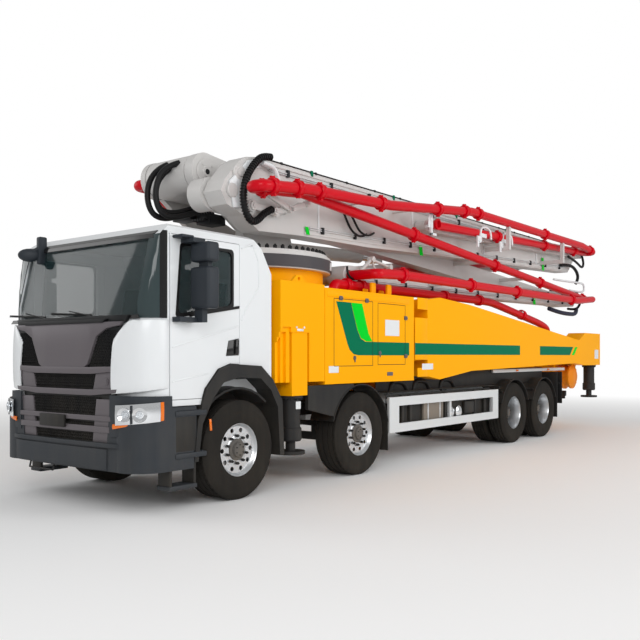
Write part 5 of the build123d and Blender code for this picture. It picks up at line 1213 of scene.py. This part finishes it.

# %% [markdown]
# ## Between the wheels
#
# Inside the open side guard hang air tanks, filters and hoses on a dark frame, with black hoops above them, and a
# bright rail runs over the rear wheels. A black sheet along the deck's side under the beam is painted shade.

# %% Tanks, filters, hoops, rail and a painted shade sheet under the beam
for side_name, side in SIDES:
    dark, tank, silver, rail, amber = (bmesh.new() for _ in range(5))
    add_block(dark, (at(-6.28), side * 1.131, 0.53), (at(-3.02), side * 1.139, 1.02), 0.002)
    for x in (-3.40, -3.62, -4.66, -5.66, -6.02):
        add_block(dark, (at(x - 0.03), side * 1.135, 0.56), (at(x + 0.03), side * 1.185, 1.00), 0.008)
    add_block(dark, (at(-5.60), side * 1.135, 0.63), (at(-5.28), side * 1.195, 0.83), 0.02)
    add_block(tank, (at(-4.58), side * 1.135, 0.57), (at(-3.98), side * 1.190, 0.97), 0.025)
    for x in (-4.10, -4.46):
        add_block(silver, (at(x - 0.018), side * 1.180, 0.56), (at(x + 0.018), side * 1.194, 0.98), 0.004)
    for x in (-4.83, -5.10):
        add_turned(silver, (at(x), side * 1.13, 0.665), (0, side, 0),
                   [(0.0, 0.0), (0.0, 0.105), (0.045, 0.105), (0.062, 0.085), (0.070, 0.04),
                    (0.070, 0.0)], 32, closed=False)
    add_block(rail, (at(-10.01), side * 1.02, 1.262), (at(-6.60), side * 1.06, 1.322), 0.006)
    for x in (-7.6, -9.1):
        add_block(amber, (at(x - 0.05), side * 1.058, 1.275), (at(x + 0.05), side * 1.070, 1.308), 0.004)
    add_block(dark, (at(-6.38), side * 0.46, 1.046), (at(-3.00), side * 1.18, 1.056), 0.003)
    # Painted shade: a thin black sheet in front of the deck's side, under the beam's lower edge, standing in for
    # the shadow that falls there.
    add_block(dark, (at(-8.90), side * 1.005, 1.06), (at(-2.95), side * 1.015, 1.34), 0.003)
    # This piece holds the guard's dark frame and backing, and also the black painted shade sheet under the beam.
    finish_piece("guard_backing_" + side_name, dark, "black_plastic", "chassis")
    finish_piece("air_tank_" + side_name, tank, "tank_grey", "chassis")
    finish_piece("filters_" + side_name, silver, "chrome", "chassis")
    finish_piece("deck_rail_" + side_name, rail, "bare_aluminium", "chassis")
    finish_piece("rail_markers_" + side_name, amber, "amber_lens", "chassis")
    for number, x in enumerate((-3.30, -3.95, -4.75)):
        add_hose("hoop_%d_%s" % (number, side_name),
                 [(at(x), side * 1.02, 1.00), (at(x), side * 1.02, 1.17), (at(x - 0.20), side * 1.02, 1.19),
                  (at(x - 0.42), side * 1.02, 1.15), (at(x - 0.50), side * 1.02, 0.98)], 0.032,
                  "hose_rubber", "chassis")
    bm = bmesh.new()
    for x, low, inner in ((-9.16, 0.34, 0.70), (-9.42, 0.60, 1.00)):
        add_block(bm, (at(x - 0.012), side * inner, low), (at(x + 0.012), side * 1.225, 1.24), 0.004)
    for x in (-6.60, -9.40):
        add_block(bm, (at(x - 0.03), side * 0.43, 0.98), (at(x + 0.03), side * 1.18, 1.03), 0.006)
    finish_piece("rear_flaps_" + side_name, bm, "hose_rubber", "chassis")
print("side guards filled")

# %% [markdown]
# ## Pump outlet, grate and rear lamps
#
# Behind the last axle the pump's round outlet shows on each side of the hopper. The hopper's
# mouth is closed by a bar grate, and a light bar hangs below it.

# %% Pump outlet, hopper grate and light bar
bm = bmesh.new()
for side in (1, -1):
    add_turned(bm, (at(-10.52), side * 0.80, 1.12), (0, side, 0),
               [(0.0, 0.0), (0.0, 0.25), (0.05, 0.27), (0.09, 0.27), (0.10, 0.235), (0.19, 0.225),
                (0.20, 0.26), (0.24, 0.26),
                (0.25, 0.21), (0.29, 0.15), (0.29, 0.0)], 40, closed=False)
    for ahead, up in circle_spots(10, 0.235):
        spot = (at(-10.52) + ahead, 1.12 + up)
        add_rod(bm, (spot[0], side * 1.03, spot[1]), (spot[0], side * 1.055, spot[1]), 0.014, 6)
finish_piece("pump_outlets", bm, "pump_orange", "chassis")
bm = bmesh.new()
for number in range(15):
    y = -0.70 + 0.10 * number
    add_block(bm, (at(-11.56), y - 0.006, 1.530), (at(-10.24), y + 0.006, 1.556), 0.002)
for x in (-11.50, -10.90, -10.30):
    add_block(bm, (at(x - 0.012), -0.745, 1.522), (at(x + 0.012), 0.745, 1.552), 0.002)
finish_piece("hopper_grate", bm, "dark_steel", "chassis", smooth=False)
bars, red, amber = bmesh.new(), bmesh.new(), bmesh.new()
add_block(bars, (at(-11.22), -0.62, 0.60), (at(-11.14), 0.62, 0.66), 0.01)
for side in (1, -1):
    add_block(bars, (at(-11.20), side * 0.38, 0.62), (at(-11.12), side * 0.44, 0.90), 0.008)
    add_block(bars, (at(-11.24), side * 0.26, 0.66), (at(-11.14), side * 0.64, 0.78), 0.012)
    add_block(red, (at(-11.252), side * 0.28, 0.675), (at(-11.235), side * 0.47, 0.765), 0.006)
    add_block(amber, (at(-11.252), side * 0.49, 0.675), (at(-11.235), side * 0.62, 0.765), 0.006)
finish_piece("rear_light_bar", bars, "dark_steel", "chassis")
finish_piece("rear_lamps_red", red, "red_lens", "chassis")
finish_piece("rear_lamps_amber", amber, "amber_lens", "chassis")
print("rear end dressed")

# %% [markdown]
# ## Pipe couplings
#
# The delivery pipe is made of lengths held by two-part clamps. Each clamp has two raised rims
# and a pair of bolted ears. The places come from the line of each pipe, given by a few points
# in X (ahead of axle 1) and Z, so a clamp sits square on its pipe.

# %% Clamps on every pipe of the boom
PIPE_LINES = (
    ("boom_1", -1.17, ((-0.52, 3.815), (-10.60, 3.70)), (-2.10, -4.60, -7.20, -9.70)),
    ("boom_3", 1.17, ((-2.75, 2.69), (-3.30, 2.72), (-10.45, 2.745), (-11.45, 2.83)),
     (-3.42, -5.53, -7.35, -10.10)),
    ("boom_4", 0.99, ((-11.45, 2.83), (-1.35, 3.59), (-0.40, 3.50)), (-0.62, -4.02, -6.81, -8.86, -11.25)),
    ("boom_5", 1.17, ((-0.40, 3.50), (-1.25, 3.59), (-3.10, 3.675), (-5.55, 3.94), (-10.70, 3.95),
                      (-11.45, 3.88)),
     (-0.60, -1.05, -1.48, -2.85, -4.43, -5.30, -5.79, -8.67, -11.23)),
    ("boom_6", 0.99, ((-11.45, 3.88), (-4.60, 3.62)), (-6.89, -9.06, -10.70)))


def pipe_spot(line, distance):
    """The point of a pipe's line at a distance ahead of axle 1, and the line's direction there."""
    for first, second in zip(line, line[1:]):
        if min(first[0], second[0]) <= distance <= max(first[0], second[0]):
            share = (distance - first[0]) / (second[0] - first[0])
            way = Vector((first[0] - second[0], 0, first[1] - second[1])).normalized()
            return (at(distance), first[1] + share * (second[1] - first[1])), way


RIM = [(-0.046, 0.071), (-0.046, 0.088), (-0.040, 0.096), (-0.024, 0.096), (-0.018, 0.088), (0.018, 0.088),
       (0.024, 0.096), (0.040, 0.096), (0.046, 0.088), (0.046, 0.071)]
for body, y, line, distances in PIPE_LINES:
    bm = bmesh.new()
    for distance in distances:
        (x, z), way = pipe_spot(line, distance)
        add_turned(bm, (x, y, z), way, RIM, 32)
        across = way.cross(Vector((0, 1, 0))).normalized()
        up = across if across.z > 0 else -across
        for sign in (1, -1):
            ear = Vector((x, y, z)) + up * sign * 0.098
            add_rod(bm, ear - Vector((0, 0.030, 0)), ear + Vector((0, 0.030, 0)), 0.018, 8)
            add_rod(bm, ear - way * 0.030, ear + way * 0.030, 0.020, 8)
    finish_piece("clamps_" + body, bm, "red_paint", body)
DECK_LINE_Y = 0.80
deck_line = add_hose("deck_line", [(at(x), y, z) for x, y, z in (
    (-2.24, DECK_LINE_Y, 2.36), (-2.24, DECK_LINE_Y, 2.535), (-2.42, DECK_LINE_Y, 2.536),
    (-3.60, DECK_LINE_Y, 2.541), (-5.20, DECK_LINE_Y, 2.548),
    (-6.90, DECK_LINE_Y, 2.553), (-7.30, DECK_LINE_Y, 2.508), (-8.40, DECK_LINE_Y, 2.353),
    (-9.55, DECK_LINE_Y, 2.195), (-9.83, 0.76, 2.06),
    (-9.93, 0.68, 1.62), (-9.98, 0.64, 1.43), (-10.19, 0.64, 1.42))], 0.070, "red_paint", "chassis", 8)
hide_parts("deck_pipe")
bm = bmesh.new()
add_turned(bm, (at(-2.24), 0.80, 2.375), (0, 0, 1),
           [(0.0, 0.071), (0.0, 0.125), (0.022, 0.125), (0.022, 0.071)], 36)
for x, y, z, way in ((-2.55, 0.80, 2.536, (1, 0, 0)), (-2.90, 0.80, 2.538, (1, 0, 0)),
                     (-5.30, 0.80, 2.548, (1, 0, 0)), (-6.55, 0.80, 2.553, (1, 0, 0)),
                     (-8.40, 0.80, 2.37, (1, 0, 0.135))):
    add_turned(bm, (at(x), y, z), way, RIM, 32)
finish_piece("clamps_deck_line", bm, "red_paint", "chassis")
print("clamps on", len(PIPE_LINES), "boom pipes")

# %% [markdown]
# ## The turret's head and the levers at the folded knee
#
# The hub that carries the boom ends in a round boss plate with a pin. At the knee between the
# fourth and fifth sections a pair of levers turns the joint; each is a flat plate with eyes.

# %% Boss plates, pins and knee levers
def add_lever(bm, corners, y_low, y_high, eye_radius, bevel=0.006):
    """A lever through eye centres given as (X, Z): bars between eyes, with a round eye at each."""
    for x, z in corners:
        add_rod(bm, (at(x), y_low - 0.008, z), (at(x), y_high + 0.008, z), eye_radius, 28)
        add_rod(bm, (at(x), y_low - 0.020, z), (at(x), y_high + 0.020, z), eye_radius * 0.5, 20)
    for (x1, z1), (x2, z2) in zip(corners, corners[1:]):
        run = Vector((x2 - x1, 0, z2 - z1))
        across = run.cross(Vector((0, 1, 0))).normalized() * eye_radius * 0.72
        loop = [Vector((at(x1), y_low, z1)) + across, Vector((at(x2), y_low, z2)) + across,
                Vector((at(x2), y_low, z2)) - across, Vector((at(x1), y_low, z1)) - across]
        add_plate(bm, loop, (0, y_high - y_low, 0), bevel)


bm = bmesh.new()
add_turned(bm, (at(-0.52), 0.148, 3.815), (0, 1, 0),
           [(0.0, 0.150), (0.010, 0.158), (0.020, 0.150), (0.020, 0.070), (0.030, 0.062), (0.030, 0.034),
            (0.012, 0.030),
            (0.012, 0.0)], 48, closed=False)
for number in range(4):
    turn = math.tau * (number + 0.5) / 4
    spot = (at(-0.52) + 0.11 * math.cos(turn), 3.815 + 0.11 * math.sin(turn))
    add_rod(bm, (spot[0], 0.165, spot[1]), (spot[0], 0.178, spot[1]), 0.012, 6)
finish_piece("turret_boss", bm, "light_grey_paint", "turret")
bm = bmesh.new()
add_turned(bm, (at(-0.52), 0.170, 3.815), (0, 1, 0), [(0.0, 0.032), (0.012, 0.032), (0.012, 0.0)], 24,
           closed=False)
finish_piece("boss_pin", bm, "dark_steel", "turret")
bm = bmesh.new()
add_turned(bm, (at(-0.71), 0.696, 3.36), (0, 1, 0), [(0.0, 0.13), (0.02, 0.13), (0.03, 0.115), (0.03, 0.075),
                                                   (0.055, 0.070), (0.055, 0.035), (0.045, 0.030),
                                                   (0.045, 0.0)], 40, closed=False)
add_turned(bm, (at(-0.40), 0.696, 3.50), (0, 1, 0),
           [(0.0, 0.085), (0.03, 0.085), (0.04, 0.075), (0.04, 0.0)], 36, closed=False)
add_turned(bm, (at(-0.52), 0.696, 3.73), (0, 1, 0), [(0.0, 0.10), (0.02, 0.10), (0.03, 0.09), (0.03, 0.05),
                                                   (0.045, 0.045), (0.045, 0.0)], 36, closed=False)
add_lever(bm, [(-0.71, 3.36), (-1.12, 3.335), (-1.30, 3.39)], 0.74, 0.775, 0.055)
add_lever(bm, [(-0.86, 3.52), (-1.30, 3.39), (-1.62, 3.51)], 0.83, 0.865, 0.048)
add_lever(bm, [(-1.30, 3.39), (-1.07, 3.34)], 0.79, 0.82, 0.045)
add_rod(bm, (at(-1.30), 0.70, 3.39), (at(-1.30), 0.885, 3.39), 0.028, 20)
for distance in (-1.62, -0.86):
    add_rod(bm, (at(distance), 0.70, 3.515), (at(distance), 0.88, 3.515), 0.022, 16)
finish_piece("knee_levers", bm, "light_grey_paint", "boom_5")
bm = bmesh.new()
add_block(bm, (at(-1.02), -0.26, 3.235), (at(-0.74), -0.01, 3.365), 0.010)
add_block(bm, (at(-0.86), -0.62, 3.30), (at(-0.66), -0.28, 3.42), 0.010)
for number in range(5):
    y = -0.24 + 0.045 * number
    add_rod(bm, (at(-0.86), y, 3.36), (at(-0.80), y, 3.46), 0.014, 12)
    add_rod(bm, (at(-0.74), y, 3.28), (at(-0.66), y, 3.28), 0.017, 12)
finish_piece("valve_block", bm, "dark_steel", "turret")
print("boss plate and levers")

# %% [markdown]
# ## Girder dressing
#
# Real boom sections have a welded edge strip along each flange, hydraulic tubes held by small
# dark clips, weld-on stiffeners, hooks for the end hose and a few blank marks. Strips and tubes
# are bars between two points; a small clip is repeated along them.

# %% Edge strips, tubes, clips and stiffeners
def along(start, end, count):
    """Evenly spaced points from one (X, Z) point to another, ends left out."""
    return [(start[0] + (end[0] - start[0]) * (number + 0.5) / count,
             start[1] + (end[1] - start[1]) * (number + 0.5) / count) for number in range(count)]


GIRDER_LINES = (
    ("boom_5", 0.697, ((-0.95, 3.935), (-11.00, 3.935)), 0.035, 11),
    ("boom_5", 0.697, ((-1.75, 3.165), (-5.50, 3.275)), 0.030, 5),
    ("boom_5", 0.697, ((-5.50, 3.275), (-11.00, 3.465)), 0.030, 7),
    ("boom_3", 0.697, ((-3.00, 2.815), (-11.20, 2.950)), 0.022, 10),
    ("boom_3", 0.697, ((-3.00, 2.575), (-11.20, 2.705)), 0.022, 10),
    ("boom_6", 0.882, ((-4.90, 3.700), (-11.20, 3.965)), 0.016, 9),
    ("boom_1", -0.702, ((-1.10, 3.93), (-10.20, 3.80)), 0.030, 10))
strips, clips, tubes = {}, {}, {}
for body, y, (start, end), wide, count in GIRDER_LINES:
    for store in (strips, clips, tubes):
        store.setdefault(body, bmesh.new())
    side = 1 if y > 0 else -1
    corners = [(start[0], start[1] - wide / 2), (end[0], end[1] - wide / 2), (end[0], end[1] + wide / 2),
               (start[0], start[1] + wide / 2)]
    add_plate(strips[body], [(at(x), y, z) for x, z in corners], (0, side * 0.010, 0), 0.003)
    drop = -wide / 2 - 0.045 if start[1] > 3.4 or start[1] in (2.815, 3.70) else wide / 2 + 0.045
    for shift, radius in ((0.0, 0.009), (0.024, 0.007)):
        z_shift = drop + (shift if drop > 0 else -shift)
        add_rod(tubes[body], (at(start[0] - 0.1), y + side * 0.014, start[1] + z_shift),
                (at(end[0] + 0.1), y + side * 0.014, end[1] + z_shift), radius, 8)
    for x, z in along(start, end, count):
        add_block(clips[body], (at(x - 0.022), y - 0.001, z + drop - 0.045),
                  (at(x + 0.022), y + side * 0.034, z + drop + 0.045), 0.005)
for body in strips:
    finish_piece("edge_strips_" + body, strips[body], "light_grey_paint", body)
    finish_piece("tubes_" + body, tubes[body], "bare_aluminium", body)
    finish_piece("clips_" + body, clips[body], "dark_steel", body)
bm = bmesh.new()
for x, low, high in ((-2.05, 3.20, 3.84), (-4.45, 3.28, 3.84), (-6.95, 3.36, 3.84), (-9.35, 3.45, 3.84)):
    add_block(bm, (at(x - 0.012), 0.694, low), (at(x + 0.012), 0.712, high), 0.004)
add_plate(bm, [(at(-0.42), 0.6955, 3.30), (at(-0.35), 0.6955, 3.60), (at(-0.66), 0.6955, 3.90),
               (at(-0.86), 0.6955, 3.945),
               (at(-0.90), 0.6955, 3.86), (at(-0.70), 0.6955, 3.80), (at(-0.50), 0.6955, 3.55),
               (at(-0.55), 0.6955, 3.32)],
          (0, 0.030, 0), 0.008)
finish_piece("stiffeners_boom_5", bm, "white_paint", "boom_5")
bm = bmesh.new()
for x, z, tall, wide in ((-9.62, 3.62, 0.26, 0.10), (-4.63, 3.33, 0.16, 0.10), (-1.75, 3.25, 0.10, 0.07)):
    add_plate(bm, [(at(x), 0.7135, z), (at(x - wide), 0.7135, z), (at(x - wide - 0.03), 0.7135, z - tall),
                   (at(x - 0.03), 0.7135, z - tall)],
              (0, 0.002, 0))
finish_piece("green_marks_boom_5", bm, "bright_green", "boom_5")
bm = bmesh.new()
add_plate(bm, [(at(-9.15), 0.7135, 2.86), (at(-9.27), 0.7135, 2.86), (at(-9.30), 0.7135, 2.62),
               (at(-9.18), 0.7135, 2.62)], (0, 0.002, 0))
finish_piece("green_marks_boom_3", bm, "bright_green", "boom_3")
print("girders dressed", sorted(strips))

# %% Open end of the sixth section's pipe, and the brackets near it
bm = bmesh.new()
add_turned(bm, (at(-4.60), 0.99, 3.62), (0, 1, 0),
           [(0.0, 0.070), (0.070, 0.070), (0.072, 0.088), (0.098, 0.088), (0.100, 0.064), (0.030, 0.062),
            (0.030, 0.0)],
           36, closed=False)
finish_piece("pipe_mouth", bm, "red_paint", "boom_6")
bm = bmesh.new()
add_turned(bm, (at(-4.60), 1.022, 3.62), (0, 1, 0),
           [(0.0, 0.0), (0.0, 0.0615), (0.004, 0.0615), (0.004, 0.0)], 32,
           closed=False)
finish_piece("pipe_mouth_bore", bm, "hose_rubber", "boom_6")
bm = bmesh.new()
add_block(bm, (at(-4.44), 1.072, 3.535), (at(-4.30), 1.084, 3.740), 0.006)
add_rod(bm, (at(-4.37), 1.070, 3.665), (at(-4.37), 1.092, 3.665), 0.030, 20)
add_block(bm, (at(-4.44), 0.960, 3.555), (at(-4.415), 1.080, 3.600), 0.004)
finish_piece("mouth_bracket", bm, "white_paint", "boom_6")
bm = bmesh.new()
add_rod(bm, (at(-2.80), 0.80, 2.70), (at(-3.16), 0.80, 2.95), 0.026, 14)
add_rod(bm, (at(-3.16), 0.80, 2.95), (at(-3.62), 0.80, 2.88), 0.022, 14)
add_rod(bm, (at(-3.16), 0.80, 2.95), (at(-3.30), 0.80, 2.74), 0.018, 12)
for x, z in ((-2.80, 2.70), (-3.16, 2.95), (-3.62, 2.88)):
    add_rod(bm, (at(x), 0.755, z), (at(x), 0.845, z), 0.042, 20)
finish_piece("joint_lever", bm, "light_grey_paint", "boom_3")
print("pipe mouth and lever")

# %% The dark cable along the top edge
bm = bmesh.new()
add_rod(bm, (at(-0.90), 0.690, 3.986), (at(-11.00), 0.690, 3.986), 0.012, 8)
for number in range(14):
    x = -1.3 - 0.70 * number
    add_block(bm, (at(x - 0.018), 0.676, 3.970), (at(x + 0.018), 0.705, 4.002), 0.003)
finish_piece("top_cable", bm, "hose_rubber", "boom_5")
bm = bmesh.new()
for number in range(5):
    x = -1.9 - 2.0 * number
    add_block(bm, (at(x - 0.022), 0.698, 3.93), (at(x + 0.022), 0.716, 4.004), 0.003)
finish_piece("cable_ties", bm, "dark_green", "boom_5")
print("cable along the top edge")

# %% Hose hooks, pipe end bracket and guard frames
bm = bmesh.new()
for x in (-6.00, -6.88):
    for first, second in (((x, 3.42), (x, 3.52)), ((x, 3.52), (x - 0.10, 3.60)),
                          ((x - 0.10, 3.60), (x - 0.28, 3.66))):
        add_block(bm, (at(min(first[0], second[0]) - 0.03), 1.045, min(first[1], second[1])),
                  (at(max(first[0], second[0]) + 0.03), 1.075, max(first[1], second[1]) + 0.01), 0.004)
finish_piece("hook_plates", bm, "white_paint", "boom_6")
for number, x in enumerate((-6.08, -6.96)):
    add_hose("hose_hook_%d" % number, [(at(x), 1.06, 3.50), (at(x), 1.06, 3.70), (at(x - 0.10), 1.06, 3.79),
                                       (at(x - 0.30), 1.06, 3.79), (at(x - 0.42), 1.06, 3.72),
                                       (at(x - 0.42), 1.06, 3.60)],
             0.021, "white_paint", "boom_6")
bm = bmesh.new()
for low, high in (((-4.52, 3.74), (-4.36, 3.78)), ((-4.52, 3.42), (-4.36, 3.46)),
                  ((-4.40, 3.42), (-4.36, 3.78))):
    add_block(bm, (at(low[0]), 1.06, low[1]), (at(high[0]), 1.10, high[1]), 0.004)
finish_piece("pipe_end_bracket", bm, "white_paint", "boom_6")
add_hose("rear_guard_frame",
         [(at(-9.70), 0.94, 3.16), (at(-10.4), 0.94, 3.17), (at(-11.30), 0.94, 3.20),
          (at(-11.50), 0.94, 3.18),
                              (at(-11.52), 0.94, 3.02), (at(-11.20), 0.94, 2.99), (at(-10.60), 0.94, 2.99)],
         0.022, "white_paint", "boom_4")
print("hooks and frames")

# %% [markdown]
# ## Hoses
#
# Hydraulic hoses pass each hinge in a loop, held by clips at both ends. They are smooth lines
# through a few control points, and the thick bundle in front is a ribbed sleeve: the same line,
# with rings that follow it.

# %% Hose loops and the ribbed bundle
def spline_points(hose, count):
    """Points and directions evenly spaced along a held hose's own line."""
    bare = hose.data.copy()
    bare.bevel_depth = 0
    holder = bpy.data.objects.new("holder", bare)
    mesh = bpy.data.meshes.new_from_object(holder)
    spots = [vert.co.copy() for vert in mesh.vertices]
    bpy.data.objects.remove(holder)
    lengths = [0.0]
    for first, second in zip(spots, spots[1:]):
        lengths.append(lengths[-1] + (second - first).length)
    made = []
    for number in range(count):
        want = lengths[-1] * (number + 0.5) / count
        index = max(i for i, value in enumerate(lengths[:-1]) if value <= want)
        share = (want - lengths[index]) / max(1e-9, lengths[index + 1] - lengths[index])
        made.append((spots[index].lerp(spots[index + 1], share),
                     (spots[index + 1] - spots[index]).normalized()))
    return made


BUNDLE = [(-1.00, 3.99), (-0.84, 3.98), (-0.70, 3.86), (-0.56, 3.68), (-0.50, 3.48), (-0.52, 3.30),
          (-0.62, 3.16),
          (-0.74, 3.17), (-0.88, 3.30), (-1.02, 3.36)]
bundle = add_hose("hose_bundle", [(at(x), 0.790, z) for x, z in BUNDLE], 0.036, "hose_rubber", "boom_5")
bm = bmesh.new()
for spot, way in spline_points(bundle, 44):
    add_turned(bm, spot, way, [(-0.010, 0.034), (-0.007, 0.046), (0.007, 0.046), (0.010, 0.034)], 16)
finish_piece("hose_bundle_rings", bm, "hose_rubber", "boom_5")
add_hose("pale_tube", [(at(-0.86), 0.775, 3.90), (at(-1.00), 0.775, 3.90), (at(-1.12), 0.775, 3.84),
                       (at(-1.18), 0.775, 3.66)],
         0.030, "white_paint", "boom_5")
TURRET_HOSES = (
    [(-0.33, -0.12, 3.93), (-0.15, -0.20, 3.86), (-0.03, -0.22, 3.60), (-0.05, -0.20, 3.33),
     (-0.20, -0.16, 3.24), (-0.45, -0.10, 3.30), (-0.72, -0.02, 3.42)],
    [(-0.33, -0.34, 3.94), (-0.14, -0.36, 3.84), (-0.01, -0.36, 3.56), (-0.06, -0.34, 3.30),
     (-0.24, -0.30, 3.24), (-0.48, -0.24, 3.32), (-0.74, -0.20, 3.44)],
    [(-0.33, -0.24, 3.90), (-0.19, -0.28, 3.80), (-0.08, -0.29, 3.56), (-0.12, -0.27, 3.36),
     (-0.27, -0.23, 3.31), (-0.50, -0.17, 3.37), (-0.72, -0.12, 3.48)])
for number, route in enumerate(TURRET_HOSES):
    add_hose("turret_hose_%d" % number, [(at(x), y, z) for x, y, z in route], 0.036, "hose_rubber", "turret")
LOOPS = (
    ("boom_6", 0.026, [(-10.55, 0.93, 3.72), (-10.95, 0.95, 3.66), (-11.38, 0.95, 3.52),
                       (-11.50, 0.94, 3.70), (-11.40, 0.92, 3.84)]),
    ("boom_5", 0.034, [(-10.60, 0.74, 3.55), (-11.00, 0.80, 3.60), (-11.35, 0.82, 3.50),
                       (-11.50, 0.82, 3.32), (-11.42, 0.78, 3.20)]),
    ("boom_4", 0.028, [(-10.80, 0.42, 3.02), (-11.20, 0.80, 3.05), (-11.52, 0.84, 2.92),
                       (-11.54, 0.84, 2.72), (-11.35, 0.80, 2.60), (-11.10, 0.72, 2.62)]),
    ("boom_3", 0.016, [(-2.62, 0.76, 2.80), (-2.56, 0.80, 2.70), (-2.70, 0.80, 2.62), (-2.90, 0.78, 2.66),
                       (-2.98, 0.72, 2.76)]),
    ("boom_5", 0.016, [(-2.55, 0.72, 3.62), (-2.60, 0.78, 3.40), (-2.72, 0.79, 3.28), (-2.95, 0.78, 3.24),
                       (-3.15, 0.72, 3.32)]),
    ("boom_5", 0.016, [(-2.68, 0.72, 3.64), (-2.74, 0.80, 3.44), (-2.86, 0.80, 3.31), (-3.12, 0.78, 3.27),
                       (-3.34, 0.72, 3.36)]))
for number, (body, radius, route) in enumerate(LOOPS):
    add_hose("hose_loop_%d" % number, [(at(x), y, z) for x, y, z in route], radius, "hose_rubber", body)
add_hose("navy_hose", [(at(-9.80), 0.80, 2.56), (at(-10.15), 0.86, 2.50), (at(-10.70), 0.88, 2.48),
                       (at(-11.25), 0.86, 2.50), (at(-11.40), 0.80, 2.62)],
         0.045, "navy_rubber", "boom_3")
print("hoses in place")
